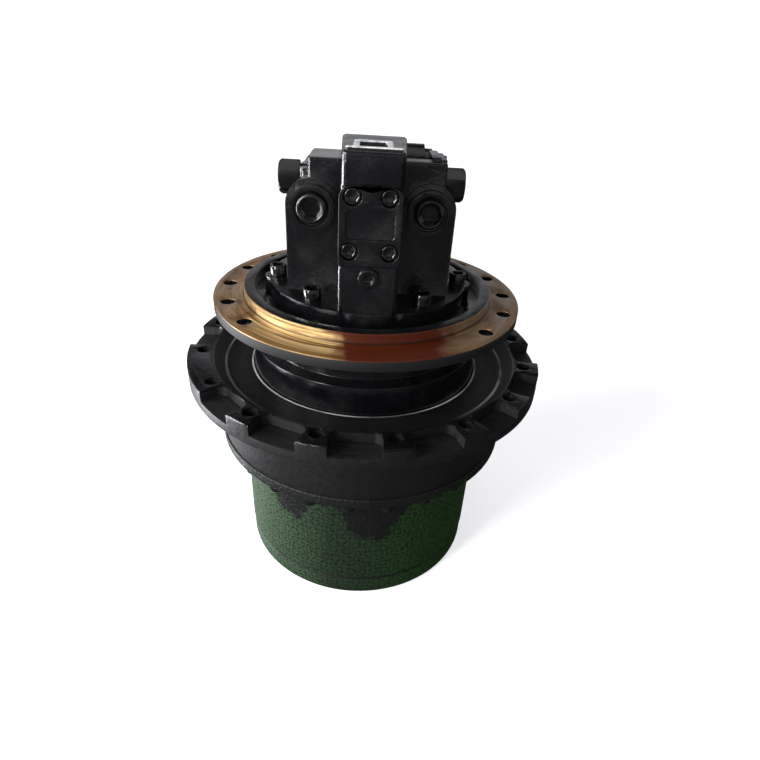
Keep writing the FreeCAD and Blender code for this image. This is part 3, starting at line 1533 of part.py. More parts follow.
# -------------------------------------------------------------------- build
def main():
    os.makedirs("parts", exist_ok=True)
    save("spindle_housing", make_spindle_housing())
    save("rear_cover", make_rear_cover())
    save("rear_cover_bolts", make_rear_cover_bolts())
    save("valve_cover_plate", make_valve_cover_plate())
    save("valve_cover_bolts", make_valve_cover_bolts())
    save("left_spool_plug", make_spool_plug(-1))
    save("right_spool_plug", make_spool_plug(1))
    save("spool_springs", make_spool_springs())
    save("counterbalance_spool", make_counterbalance_spool())
    save("speed_valve_cap", make_speed_valve_cap())
    save("speed_change_spool", make_speed_change_spool())
    save("main_port_plugs", make_main_port_plugs())
    save("small_port_plugs", make_small_port_plugs())

    save("valve_plate", make_valve_plate())
    save("cylinder_block", make_cylinder_block())
    save("pistons", make_pistons())
    save("piston_shoes", make_piston_shoes())
    save("shoe_retainer", make_shoe_retainer())
    save("swash_plate", make_swash_plate())
    save("swash_pivot_balls", group(pivot_balls()))
    save("speed_piston", make_speed_piston())
    save("brake_separator_plates", make_separator_plates())
    save("brake_friction_plates", make_friction_plates())
    save("brake_piston", make_brake_piston())
    save("brake_disc_spring", make_brake_disc_spring())

    save("motor_shaft", make_motor_shaft())
    save("shaft_bearing_outer_ring", make_shaft_bearing_outer_ring())
    save("shaft_bearing_inner_ring", make_shaft_bearing_inner_ring())
    save("shaft_bearing_rollers", make_shaft_bearing_rollers())
    save("shaft_rear_bush", make_shaft_rear_bush())
    save("shaft_seal", make_shaft_seal())
    save("shaft_coupling", make_shaft_coupling())
    save("first_sun_gear", make_first_sun_gear())

    save("second_sun_gear", make_second_sun_gear())
    save("second_carrier", make_second_carrier())
    save("second_carrier_bolts", make_second_carrier_bolts())
    save("second_planet_pins", planet_pins(second_planet_phase, second_centre_distance, second_pin_radius,
                                           second_carrier_end, nose_end))
    save("second_thrust_washers", thrust_washers(second_planet_phase, second_centre_distance,
                                                 second_pin_radius,
                                                 (second_plate_bottom, second_lower_plate_top)))
    save_planets("second", second_planet_teeth, second_planet_phase, second_centre_distance,
                 second_pin_radius, second_gear_bottom, second_gear_top)

    save("first_carrier", make_first_carrier())
    save("first_planet_pins", planet_pins(first_planet_phase, first_centre_distance, first_pin_radius,
                                          first_carrier_end, first_plate_top))
    save("first_thrust_washers", thrust_washers(first_planet_phase, first_centre_distance, first_pin_radius,
                                                (first_plate_bottom, first_lower_plate_top)))
    save_planets("first", first_planet_teeth, first_planet_phase, first_centre_distance,
                 first_pin_radius, first_gear_bottom, first_gear_top)

    save("main_bearing_inner_rings", make_bearing_rings(-1, bearing_bore_radius))
    save("main_bearing_outer_rings", make_bearing_rings(1, bearing_outer_radius))
    save("main_bearing_rollers", make_main_bearing_rollers())
    save("fixed_seal_ring", seal_ring(1))
    save("rotating_seal_ring", seal_ring(-1))
    save("fixed_seal_o_ring", seal_o_ring(1))
    save("rotating_seal_o_ring", seal_o_ring(-1))
    save("sprocket_drum", make_sprocket_drum())
    save("ring_gear", make_ring_gear())
    save("ring_gear_bolts", make_ring_gear_bolts())
    save("end_cover", make_end_cover())
    save("end_cover_bolts", make_end_cover_bolts())
    save("end_cover_plugs", make_end_cover_plugs())


main()
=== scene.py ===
import json
import math

import bmesh
import bpy
from mathutils import Matrix, Vector

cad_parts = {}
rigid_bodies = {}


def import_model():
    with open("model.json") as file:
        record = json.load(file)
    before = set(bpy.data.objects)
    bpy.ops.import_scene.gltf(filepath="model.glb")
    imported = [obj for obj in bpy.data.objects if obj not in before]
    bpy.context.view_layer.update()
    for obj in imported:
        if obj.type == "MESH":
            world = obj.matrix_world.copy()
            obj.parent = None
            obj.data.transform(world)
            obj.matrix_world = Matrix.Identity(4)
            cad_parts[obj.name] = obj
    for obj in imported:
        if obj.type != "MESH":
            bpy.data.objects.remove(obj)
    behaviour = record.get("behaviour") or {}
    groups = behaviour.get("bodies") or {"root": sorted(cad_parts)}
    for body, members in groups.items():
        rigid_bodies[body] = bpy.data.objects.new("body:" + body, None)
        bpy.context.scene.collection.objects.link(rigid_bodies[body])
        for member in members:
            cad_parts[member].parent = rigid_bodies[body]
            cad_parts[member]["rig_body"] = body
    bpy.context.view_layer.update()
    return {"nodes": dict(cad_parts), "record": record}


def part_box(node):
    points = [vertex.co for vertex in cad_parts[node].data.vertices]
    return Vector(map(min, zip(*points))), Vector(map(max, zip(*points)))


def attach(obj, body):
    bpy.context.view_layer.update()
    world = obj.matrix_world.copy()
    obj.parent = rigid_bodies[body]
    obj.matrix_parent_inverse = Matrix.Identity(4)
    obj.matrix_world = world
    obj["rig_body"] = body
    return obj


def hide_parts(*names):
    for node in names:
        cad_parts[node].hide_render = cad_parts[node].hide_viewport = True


bl_info = {
    "name": "Track Final Drive Dresser",
    "version": (1, 0, 0),
    "blender": (4, 5, 0),
    "location": "View3D > Sidebar > Final Drive",
    "description": "Paint, oil, screws and studio for a hydraulic track drive",
    "category": "Object",
}

MM = 0.001
UP = Vector((0, 0, 1))
DOWN = Vector((0, 0, -1))
FRONT = Vector((0, -1, 0))

NOISE = "ShaderNodeTexNoise"
RANGE = "ShaderNodeMapRange"
MIX = "ShaderNodeMix"
MATH = "ShaderNodeMath"
VECTOR = "ShaderNodeVectorMath"
COMBINE = "ShaderNodeCombineXYZ"
SEPARATE = "ShaderNodeSeparateXYZ"
BUMP = "ShaderNodeBump"

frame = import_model()
nodes = frame["nodes"]
floor_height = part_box("end_cover")[0].z
case_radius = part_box("end_cover")[1].x
case_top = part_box("ring_gear")[1].z
frame_flange_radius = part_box("spindle_housing")[1].x
drum_mouth = 156.4 * MM
dish_ridge = 193 * MM
valve_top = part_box("rear_cover")[1].z
seam_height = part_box("ring_gear")[0].z


# ------------------------------------------------------------------ settings
class PaintSettings(bpy.types.PropertyGroup):
    """Black enamel of the castings, as sRGB hex values, and the sizes of its texture."""
    black: bpy.props.StringProperty(
        name="Black", description="Gloss enamel where it is clean", default="#060608")
    # Dust and painted sheen: dust patches take this colour, and up-facing faces lean towards it as a painted
    # sheen.
    dust_and_sheen: bpy.props.StringProperty(
        name="Dusty black", description="Enamel under spray dust, duller and greyer", default="#0d0d0e")
    satin: bpy.props.StringProperty(
        name="Satin black", description="Thin coat on the drum's turned wall", default="#0b0b0b")
    rim: bpy.props.StringProperty(
        name="Rim grey", description="Thin coat on the frame flange's turned rim", default="#0b0a09")
    # Painted highlight: near-white colour laid on the valve head's highest rim and on the drum's lip and dish
    # ridge.
    painted_highlight: bpy.props.StringProperty(
        name="Rubbed edge", description="Where the highest rim has been rubbed through", default="#d2d3d2")
    # Painted sheen: light grey laid on up-facing faces of the left shoulder.
    painted_top_sheen: bpy.props.StringProperty(
        name="Powder", description="Dry spray powder on the left shoulder", default="#5c5c5b")
    sand_grain: bpy.props.FloatProperty(
        name="Sand grain", description="Size of the sand grain under the paint, in millimetres",
        default=1.5, min=0.2, max=10)
    brush_sag: bpy.props.FloatProperty(
        name="Brush sag", description="Size of the thick and thin places in the paint, in millimetres",
        default=10.0, min=1, max=60)
    edge_rounding: bpy.props.FloatProperty(
        name="Casting edges", description="Rounding of the cast edges under paint",
        default=0.0016, min=0.0002, max=0.005, subtype="DISTANCE", unit="LENGTH")


class OilSettings(bpy.types.PropertyGroup):
    """Turned frame flange under preservative oil, as sRGB hex values."""
    steel: bpy.props.StringProperty(
        name="Steel", description="Turned steel with a thin brown film", default="#82684c")
    steel_shade: bpy.props.StringProperty(
        name="Steel in the tool marks", description="Darker turns of the tool marks", default="#54402a")
    cream_and_highlight: bpy.props.StringProperty(
        # Partly thin oil film, partly a painted highlight on the left of the flange and pilot.
        name="Cream", description="Oil film where it is thinnest", default="#e3c48a")
    amber: bpy.props.StringProperty(
        name="Amber", description="Oil film of middling depth", default="#5f4017")
    rust: bpy.props.StringProperty(
        name="Rust", description="Oil film where it is thick", default="#4a1b08")
    tool_mark: bpy.props.FloatProperty(
        name="Tool mark", description="Width of the bands of turning marks, in millimetres",
        default=1.1, min=0.2, max=5)


class CaseSettings(bpy.types.PropertyGroup):
    """Colours of the gear case, which paint the reflection of a green tread-plate floor in its gloss, as sRGB
    hex values.
    """
    # Painted light: green of the lit left side.
    lit_side_green: bpy.props.StringProperty(
        name="Faded green", description="The side that has stood in the light", default="#3a5238")
    green: bpy.props.StringProperty(
        name="Green", description="Hammer finish enamel", default="#162814")
    # Painted shade: green of the shaded right side.
    shaded_side_green: bpy.props.StringProperty(
        name="Fresh green", description="The side that has kept its colour", default="#123306")
    # Dark of the marks of the painted tread-plate reflection.
    mark_shade: bpy.props.StringProperty(
        name="Mark", description="Dark bottom of a hammer mark", default="#060a06")
    # Length of a mark of the painted tread-plate reflection.
    mark: bpy.props.FloatProperty(
        name="Hammer mark", description="Length of one mark, in millimetres", default=7.5, min=1, max=30)
    # Painted dark reflection: how far the dark patches reach down the case at their lowest.
    painted_dark_reflection: bpy.props.FloatProperty(
        name="Overspray", description="How far the black spray has drifted down the case at its lowest",
        default=0.085, min=0, max=0.2, subtype="DISTANCE", unit="LENGTH")


class ScrewSettings(bpy.types.PropertyGroup):
    """Proportions shared by the socket head screws."""
    socket_share: bpy.props.FloatProperty(
        name="Socket width", description="Across the socket's corners, over the head's diameter",
        default=0.68, min=0.3, max=0.8, subtype="FACTOR")
    socket_depth_share: bpy.props.FloatProperty(
        name="Socket depth", description="Depth of the socket over the head's height",
        default=0.6, min=0.2, max=0.8, subtype="FACTOR")
    head_chamfer: bpy.props.FloatProperty(
        name="Head chamfer", description="Chamfer round the top of a head",
        default=0.001, min=0.0001, max=0.005, subtype="DISTANCE", unit="LENGTH")


class StudioSettings(bpy.types.PropertyGroup):
    """Floor, light and camera of the studio."""
    floor_colour: bpy.props.StringProperty(
        name="Floor", description="Pale seamless floor", default="#cacacc")
    floor_glow: bpy.props.FloatProperty(
        name="Floor glow", description="Light that the lit floor gives of itself", default=0.62,
        min=0, max=1)
    lens: bpy.props.FloatProperty(
        name="Lens", description="Focal length in millimetres on a 36 mm sensor", default=25.443,
        min=10, max=200)
    window_power: bpy.props.FloatProperty(
        name="Window light", description="Power of each of the two windows on the left", default=34.0,
        min=0, unit="POWER")
    top_power: bpy.props.FloatProperty(
        name="Top light", description="Power of the large light overhead", default=7.0, min=0, unit="POWER")


# ------------------------------------------------------------- shader helpers
def linear(hex_colour):
    """Linear RGBA of an sRGB hex colour."""
    parts = [int(hex_colour[start:start + 2], 16) / 255 for start in (1, 3, 5)]
    return [p / 12.92 if p <= 0.04045 else ((p + 0.055) / 1.055) ** 2.4 for p in parts] + [1.0]


def add(tree, kind, inputs=None, output=0, **settings):
    """Adds a node, sets its properties, sets or links its inputs, and gives one of its outputs."""
    node = tree.nodes.new(kind)
    for name, value in settings.items():
        setattr(node, name, value)
    for name, value in (inputs or {}).items():
        if isinstance(value, bpy.types.NodeSocket):
            tree.links.new(value, node.inputs[name])
        else:
            node.inputs[name].default_value = value
    return node.outputs[output] if node.outputs else node


def per_metre(millimetres):
    """Texture scale that gives a pattern of this size."""
    return 1.0 / (millimetres * MM)


def between(value, low, high, to_low=0.0, to_high=1.0):
    """Inputs of a Map Range node."""
    return {"Value": value, "From Min": low, "From Max": high, "To Min": to_low, "To Max": to_high}


def new_material(name):
    material = bpy.data.materials.new(name)
    material.use_nodes = True
    material.node_tree.nodes.clear()
    return material, material.node_tree


def finish_material(tree, inputs):
    """Ends a material in one Principled shader."""
    add(tree, "ShaderNodeOutputMaterial", {"Surface": add(tree, "ShaderNodeBsdfPrincipled", inputs)})


# ------------------------------------------------------------------ materials
def brushed_coat(tree, where, paint, relief):
    """Colour, roughness and normal of gloss enamel brushed over a sand casting."""
    dust = add(tree, NOISE, {"Vector": where, "Scale": per_metre(38), "Detail": 5.0, "Roughness": 0.62})
    # Random dust patches, plus painted sheen: up-facing faces lean towards the dusty grey.
    lying = add(tree, SEPARATE, {"Vector": add(tree, "ShaderNodeNewGeometry", output="Normal")}, "Z")
    up_facing_sheen = add(tree, RANGE, between(lying, 0.75, 0.98, 0.0, 0.1))
    share = add(tree, RANGE, between(add(tree, MATH, {0: dust, 1: up_facing_sheen}), 0.44, 0.72))
    colour = add(tree, MIX, {"Factor": share, 6: linear(paint.black), 7: linear(paint.dust_and_sheen)}, 2,
                 data_type="RGBA")
    roughness = add(tree, RANGE, between(share, 0.0, 1.0, 0.13, 0.34))
    sags = add(tree, NOISE, {"Vector": where, "Scale": per_metre(paint.brush_sag), "Distortion": 0.6})
    grain = add(tree, NOISE, {"Vector": where, "Scale": per_metre(paint.sand_grain), "Detail": 4.0,
                              "Roughness": 0.6})
    coarse = add(tree, BUMP, {"Height": sags, "Distance": 0.5 * relief * MM})
    normal = add(tree, BUMP, {"Height": grain, "Distance": 0.24 * relief * MM, "Strength": 0.8,
                              "Normal": coarse})
    return colour, roughness, normal


def casting_enamel(paint):
    """Alkyd enamel brushed on rough cast iron: near black, with wet highlights that break up on the sand
    grain, a painted highlight along the highest rim, and a painted grey sheen on up-facing faces, strongest
    on the left shoulder."""
    material, tree = new_material("Alkyd_Enamel_On_Sand_Casting")
    where = add(tree, "ShaderNodeTexCoord", output="Object")
    colour, roughness, normal = brushed_coat(tree, where, paint, 1.0)
    x, z = (add(tree, SEPARATE, {"Vector": where}, axis) for axis in "XZ")
    lying = add(tree, SEPARATE, {"Vector": add(tree, "ShaderNodeNewGeometry", output="Normal")}, "Z")
    # Painted highlight: the highest rim of the valve head is laid near white in patches.
    highlight_breakup = add(tree, NOISE, {"Vector": where, "Scale": per_metre(6), "Detail": 4.0, "Roughness": 0.65})
    highest = add(tree, RANGE, between(z, valve_top - 1.3 * MM, valve_top - 0.5 * MM))
    painted_highlight = add(tree, MATH, {0: highest, 1: add(tree, RANGE, between(highlight_breakup, 0.36, 0.5, 0.25, 0.95))},
                 operation="MULTIPLY")
    # Painted sheen: up-facing faces on the left shoulder are laid light grey.
    on_left = add(tree, RANGE, between(x, -30 * MM, -40 * MM))
    on_top = add(tree, RANGE, between(lying, 0.6, 0.95))
    painted_top_sheen = add(tree, MATH, {0: add(tree, MATH, {0: on_left, 1: on_top}, operation="MULTIPLY"),
                              1: add(tree, RANGE, between(z, valve_top - 50 * MM, valve_top - 40 * MM, 0.0,
                                                          0.75))}, operation="MULTIPLY")
    highlight_patches = add(tree, MIX, {"Factor": painted_highlight, 6: colour, 7: linear(paint.painted_highlight)}, 2, data_type="RGBA")
    with_top_sheen = add(tree, MIX, {"Factor": painted_top_sheen, 6: highlight_patches, 7: linear(paint.painted_top_sheen)}, 2, data_type="RGBA")
    finish_material(tree, {"Base Color": with_top_sheen, "Roughness": roughness, "Normal": normal, "IOR": 1.5,
                           "Specular IOR Level": 0.5})
    return material


def fitting_enamel(paint):
    """The same enamel over machined screws and plugs: smoother, so its highlights stay whole."""
    material, tree = new_material("Alkyd_Enamel_On_Fittings")
    where = add(tree, "ShaderNodeTexCoord", output="Object")
    colour, roughness, normal = brushed_coat(tree, where, paint, 0.35)
    finish_material(tree, {"Base Color": colour, "Roughness": roughness, "Normal": normal, "IOR": 1.5,
                           "Specular IOR Level": 0.5})
    return material


def drum_enamel(paint):
    """Alkyd enamel on the sprocket drum: glossy over a coarse cast dish, with a painted highlight along the
    lip of its mouth and on the ridge round the dish, thin and satin on the wall turned below the flange,
    where it has streaked on its way down."""
    material, tree = new_material("Alkyd_Enamel_On_Drum")
    where = add(tree, "ShaderNodeTexCoord", output="Object")
    colour, roughness, normal = brushed_coat(tree, where, paint, 1.25)
    height = add(tree, SEPARATE, {"Vector": where}, "Z")
    flat = add(tree, VECTOR, {0: where, 1: (1.0, 1.0, 0.0)}, operation="MULTIPLY")
    radius = add(tree, VECTOR, {0: flat}, "Value", operation="LENGTH")
    rings = add(tree, NOISE, {"Vector": add(tree, COMBINE, {"X": radius}), "Scale": per_metre(9),
                              "Detail": 3.0})
    x = add(tree, SEPARATE, {"Vector": where})
    # Painted highlight: the lip of the mouth and the ridge round the dish are laid near white in patches,
    # stronger away from the centre.
    highlight_patches = add(tree, NOISE, {"Vector": where, "Scale": per_metre(60), "Detail": 3.0})
    off_centre = add(tree, MATH, {0: add(tree, MATH, {0: x, 1: -30 * MM})}, operation="ABSOLUTE")
    unevenness = add(tree, MATH, {0: add(tree, RANGE, between(off_centre, 20 * MM, 60 * MM, 0.12, 0.6)),
                            1: add(tree, RANGE, between(highlight_patches, 0.35, 0.55, 0.3, 1.0))},
               operation="MULTIPLY")
    lip = add(tree, RANGE, between(radius, drum_mouth + 2.6 * MM, drum_mouth + 1.8 * MM))
    from_ridge = add(tree, MATH, {0: add(tree, MATH, {0: radius, 1: -dish_ridge})}, operation="ABSOLUTE")
    beside = add(tree, RANGE, between(add(tree, MATH, {0: x}, operation="ABSOLUTE"),
                                      110 * MM, 165 * MM, 0.0, 0.5))
    ridge = add(tree, MATH, {0: add(tree, RANGE, between(from_ridge, 2.2 * MM, 0.9 * MM)), 1: beside},
                operation="MULTIPLY")
    edges = add(tree, MATH, {0: lip, 1: ridge}, operation="MAXIMUM")
    painted_highlight = add(tree, MATH, {0: edges, 1: unevenness}, operation="MULTIPLY")
    ringed = add(tree, BUMP, {"Height": rings, "Distance": 1.4 * MM, "Normal": normal})
    flange_underside = -110 * MM
    wall = add(tree, RANGE, between(height, flange_underside + 26 * MM, flange_underside + 24 * MM))
    drawn_out = add(tree, VECTOR, {0: where, 1: (1.0, 1.0, 0.12)}, operation="MULTIPLY")
    streaks = add(tree, NOISE, {"Vector": drawn_out, "Scale": per_metre(16), "Detail": 4.0})
    wall_colour = add(tree, MIX, {"Factor": add(tree, RANGE, between(streaks, 0.35, 0.7)),
                                  6: linear(paint.satin), 7: linear(paint.dust_and_sheen)}, 2, data_type="RGBA")
    painted = add(tree, MIX, {"Factor": wall, 6: colour, 7: wall_colour}, 2, data_type="RGBA")
    finish_material(tree, {
        "Base Color": add(tree, MIX, {"Factor": painted_highlight, 6: painted, 7: linear(paint.painted_highlight)}, 2,
                          data_type="RGBA"),
        "Roughness": add(tree, MIX, {"Factor": wall, "A": roughness, "B": 0.5}), "Normal": ringed,
        "IOR": 1.5, "Specular IOR Level": 0.3})
    return material


def oiled_flange(oil, paint):
    """Turned steel flange and pilot under preservative oil: the film runs from amber on the left to rust on
    the right, in streaks along the tool marks, with pale streaks on the left that are partly thin film and
    partly a painted highlight, and painted shade in the corner at the foot of the pilot. The rest of the case
    is enamelled."""
    material, tree = new_material("Turned_Steel_With_Preservative_Oil")
    where = add(tree, "ShaderNodeTexCoord", output="Object")
    colour, roughness, normal = brushed_coat(tree, where, paint, 0.4)
    x, y, z = (add(tree, SEPARATE, {"Vector": where}, axis) for axis in "XYZ")
    flat = add(tree, VECTOR, {0: where, 1: (1.0, 1.0, 0.0)}, operation="MULTIPLY")
    radius = add(tree, VECTOR, {0: flat}, "Value", operation="LENGTH")
    angle = add(tree, MATH, {0: y, 1: x}, operation="ARCTAN2")

    pilot_radius = 162 * MM
    turned = add(tree, COMBINE, {
        "X": radius, "Y": add(tree, MATH, {0: angle, 1: 6 * MM}, operation="MULTIPLY"), "Z": z})
    tool_marks = add(tree, NOISE, {"Vector": turned, "Scale": per_metre(oil.tool_mark), "Detail": 3.0})
    smears = add(tree, NOISE, {"Vector": turned, "Scale": per_metre(7), "Detail": 4.0, "Roughness": 0.6})
    patches = add(tree, NOISE, {"Vector": where, "Scale": per_metre(26), "Detail": 4.0, "Roughness": 0.6})

    steel = add(tree, MIX, {"Factor": add(tree, RANGE, between(tool_marks, 0.35, 0.7)),
                            6: linear(oil.steel), 7: linear(oil.steel_shade)}, 2, data_type="RGBA")
    # Pale streaks on the left: partly thin oil film, partly a painted highlight.
    left_oil_and_highlight = add(tree, MIX, {"Factor": add(tree, RANGE, between(smears, 0.4, 0.58)),
                               6: linear(oil.amber), 7: linear(oil.cream_and_highlight)}, 2, data_type="RGBA")
    towards_rim = add(tree, RANGE, between(radius, 174 * MM, 192 * MM, 0.0, 0.8))
    towards_left = add(tree, RANGE, between(x, -100 * MM, -140 * MM, 0.0, 0.7))
    deepening = add(tree, MATH, {0: towards_rim, 1: towards_left}, operation="MAXIMUM")
    browned = add(tree, MIX, {"Factor": deepening, 6: left_oil_and_highlight, 7: linear(oil.amber)}, 2,
                  data_type="RGBA")
    wandering = add(tree, MATH, {0: add(tree, MATH, {0: patches, 1: -0.5}), 1: 50 * MM, 2: x},
                    operation="MULTIPLY_ADD")
    film = add(tree, MIX, {"Factor": add(tree, RANGE, between(wandering, -44 * MM, -20 * MM)),
                           6: browned, 7: linear(oil.rust)}, 2, data_type="RGBA")

    side = add(tree, MATH, {0: add(tree, MATH, {0: x, 1: 26 * MM})}, operation="ABSOLUTE")
    reach = add(tree, MATH, {0: add(tree, MATH, {0: patches, 1: -0.5}), 1: 60 * MM, 2: side},
                operation="MULTIPLY_ADD")
    in_front = add(tree, RANGE, between(y, -60 * MM, -95 * MM))
    pooled = add(tree, MATH, {0: in_front, 1: add(tree, RANGE, between(reach, 134 * MM, 108 * MM))},
                 operation="MULTIPLY")
    stained = add(tree, MATH, {0: add(tree, RANGE, between(patches, 0.5, 0.6, 0.0, 0.8)),
                               1: add(tree, RANGE, between(x, -110 * MM, -140 * MM))}, operation="MULTIPLY")
    oil_share = add(tree, MATH, {0: pooled, 1: stained}, operation="MAXIMUM")
    film_anywhere = add(tree, MIX, {"Factor": stained, 6: film, 7: linear(oil.rust)}, 2, data_type="RGBA")
    oiled = add(tree, MIX, {"Factor": oil_share, 6: steel, 7: film_anywhere}, 2, data_type="RGBA")
    # Painted shade: a dark brown line in the corner where the pilot wall meets the flange face.
    from_corner = add(tree, VECTOR, {0: add(tree, COMBINE, {"X": radius, "Y": z}),
                                     1: (pilot_radius, 0.0, 0.0)}, "Value", operation="DISTANCE")
    painted_corner_shade = add(tree, RANGE, between(from_corner, 2.2 * MM, 0.8 * MM, 0.0, 0.8))
    bare_colour = add(tree, MIX, {"Factor": painted_corner_shade, 6: oiled, 7: linear("#1d120a")}, 2,
                      data_type="RGBA")

    on_rim = add(tree, RANGE, between(radius, frame_flange_radius - 1.6 * MM,
                                      frame_flange_radius - 1.2 * MM))
    enamel_colour = add(tree, MIX, {"Factor": on_rim, 6: colour, 7: linear(paint.rim)}, 2,
                        data_type="RGBA")
    bare = add(tree, MATH, {0: add(tree, RANGE, between(z, -1.5 * MM, -0.7 * MM)),
                            1: add(tree, RANGE, between(radius, pilot_radius - 1.4 * MM,
                                                        pilot_radius - 0.9 * MM))},
               operation="MULTIPLY")
    finish_material(tree, {
        "Base Color": add(tree, MIX, {"Factor": bare, 6: enamel_colour, 7: bare_colour}, 2,
                          data_type="RGBA"),
        "Metallic": add(tree, MATH, {0: bare, 1: 0.4}, operation="MULTIPLY"),
        "Roughness": add(tree, MIX, {"Factor": bare, "A": add(tree, MIX, {
            "Factor": on_rim, "A": roughness, "B": 0.6}), "B": 0.36}),
        "Normal": add(tree, BUMP, {"Height": tool_marks, "Distance": 0.12 * MM, "Strength": 0.7,
                                   "Normal": normal}),
        "IOR": 1.5, "Specular IOR Level": 0.42})
    return material


def gear_case_floor_reflection(case, paint):
    """Gear case colour: the painted reflection of a green tread-plate floor in the case's gloss, with short
    dark marks that lie crosswise in turn for the plate's pattern, painted lighter on the left and darker on
    the right as the light falls, painted shade along the seam, and dark painted reflections that reach down
    from the drum between the screws."""
    material, tree = new_material("Gear_Case_Painted_Floor_Reflection")
    where = add(tree, "ShaderNodeTexCoord", output="Object")
    x, y, z = (add(tree, SEPARATE, {"Vector": where}, axis) for axis in "XYZ")
    angle = add(tree, MATH, {0: y, 1: x}, operation="ARCTAN2")
    around = add(tree, MATH, {0: angle, 1: case_radius}, operation="MULTIPLY")
    sheet = add(tree, COMBINE, {"X": around, "Y": z})
    # Marks of the painted tread-plate reflection, lying crosswise in turn.
    warp = add(tree, NOISE, {"Vector": sheet, "Scale": per_metre(3 * case.mark)}, "Color")
    warped = add(tree, VECTOR, {0: warp, 1: (2.4 * case.mark * MM,) * 3, 2: sheet}, operation="MULTIPLY_ADD")
    grid = add(tree, VECTOR, {0: warped, 1: (per_metre(case.mark),) * 3}, operation="MULTIPLY")
    cell = add(tree, VECTOR, {0: grid}, operation="FLOOR")
    within = add(tree, VECTOR, {0: add(tree, VECTOR, {0: grid}, operation="FRACTION"), 1: (0.5, 0.5, 0.0)},
                 operation="SUBTRACT")
    odd = add(tree, MATH, {0: add(tree, VECTOR, {0: cell, 1: (1.0, 1.0, 0.0)}, "Value",
                                  operation="DOT_PRODUCT"), 1: 2.0}, operation="FLOORED_MODULO")
    up_slope, down_slope = (
        add(tree, MATH, {0: add(tree, VECTOR, {0: within, 1: (0.7, lean, 0.0)}, "Value",
                                operation="DOT_PRODUCT")}, operation="ABSOLUTE") for lean in (0.7, -0.7))
    across = add(tree, MIX, {"Factor": odd, "A": up_slope, "B": down_slope})
    along = add(tree, MIX, {"Factor": odd, "A": down_slope, "B": up_slope})
    marked = add(tree, MATH, {0: add(tree, RANGE, between(across, 0.13, 0.24, 1.0, 0.0)),
                              1: add(tree, RANGE, between(along, 0.36, 0.5, 1.0, 0.0))}, operation="MULTIPLY")
    patches = add(tree, NOISE, {"Vector": where, "Scale": per_metre(24), "Detail": 4.0, "Roughness": 0.6})
    specks = add(tree, NOISE, {"Vector": sheet, "Scale": per_metre(2.6), "Detail": 3.0})

    # Painted light and shade: the green is lighter on the left and darker on the right, as the light falls.
    side = add(tree, MATH, {0: patches, 1: 70 * MM, 2: x}, operation="MULTIPLY_ADD")
    left = add(tree, MIX, {"Factor": add(tree, RANGE, between(side, -130 * MM, 0.0)),
                           6: linear(case.lit_side_green), 7: linear(case.green)}, 2, data_type="RGBA")
    enamel = add(tree, MIX, {"Factor": add(tree, RANGE, between(side, 40 * MM, 120 * MM)),
                             6: left, 7: linear(case.shaded_side_green)}, 2, data_type="RGBA")
    mottled = add(tree, MIX, {"Factor": add(tree, RANGE, between(specks, 0.4, 0.75, 0.0, 0.5)),
                              6: enamel, 7: linear(case.mark_shade)}, 2, data_type="RGBA")
    shaded = add(tree, MIX, {"Factor": add(tree, MATH, {0: marked, 1: 0.72}, operation="MULTIPLY"),
                             6: mottled, 7: linear(case.mark_shade)}, 2, data_type="RGBA")
    # Painted shade: a dark line along the seam between the ring gear and the end cover.
    from_seam = add(tree, MATH, {0: add(tree, MATH, {0: z, 1: -seam_height})}, operation="ABSOLUTE")
    seam_shaded = add(tree, MIX, {"Factor": add(tree, RANGE, between(from_seam, 2.4 * MM, 1.8 * MM, 0.0, 0.95)),
                             6: shaded, 7: linear("#040604")}, 2, data_type="RGBA")

    # Painted dark reflection: it reaches lowest a little to the right of the front and again beside the first
    # screws.
    ragged = add(tree, NOISE, {"Vector": where, "Scale": per_metre(11), "Detail": 5.0, "Roughness": 0.7})
    ragged_height = add(tree, MATH, {0: add(tree, MATH, {0: ragged, 1: -0.5}), 1: 90 * MM, 2: z},
                operation="MULTIPLY_ADD")
    front_reach = add(tree, RANGE, between(
        add(tree, MATH, {0: add(tree, MATH, {0: x, 1: -20 * MM})}, operation="ABSOLUTE"),
        8 * MM, 74 * MM, case.painted_dark_reflection, 0.0), interpolation_type="SMOOTHSTEP")
    left_reach = add(tree, RANGE, between(
        add(tree, MATH, {0: add(tree, MATH, {0: x, 1: 92 * MM})}, operation="ABSOLUTE"),
        10 * MM, 44 * MM, case.painted_dark_reflection * 0.75, 0.0), interpolation_type="SMOOTHSTEP")
    reach = add(tree, MATH, {0: front_reach, 1: left_reach}, operation="MAXIMUM")
    dark_reflection_height = add(tree, MATH, {0: ragged_height, 1: reach})
    painted_dark_reflection = add(tree, RANGE, between(dark_reflection_height, case_top - 22 * MM, case_top - 12 * MM, 0.0, 0.94))
    finish_material(tree, {
        "Base Color": add(tree, MIX, {"Factor": painted_dark_reflection, 6: seam_shaded, 7: linear(paint.satin)}, 2,
                          data_type="RGBA"),
        "Roughness": add(tree, RANGE, between(patches, 0.3, 0.7, 0.42, 0.62)),
        "Normal": add(tree, BUMP, {"Height": marked, "Distance": 0.45 * MM, "Strength": 0.6, "Normal":
                                   add(tree, BUMP, {"Height": specks, "Distance": 0.3 * MM})}),
        "IOR": 1.5, "Specular IOR Level": 0.22})
    return material


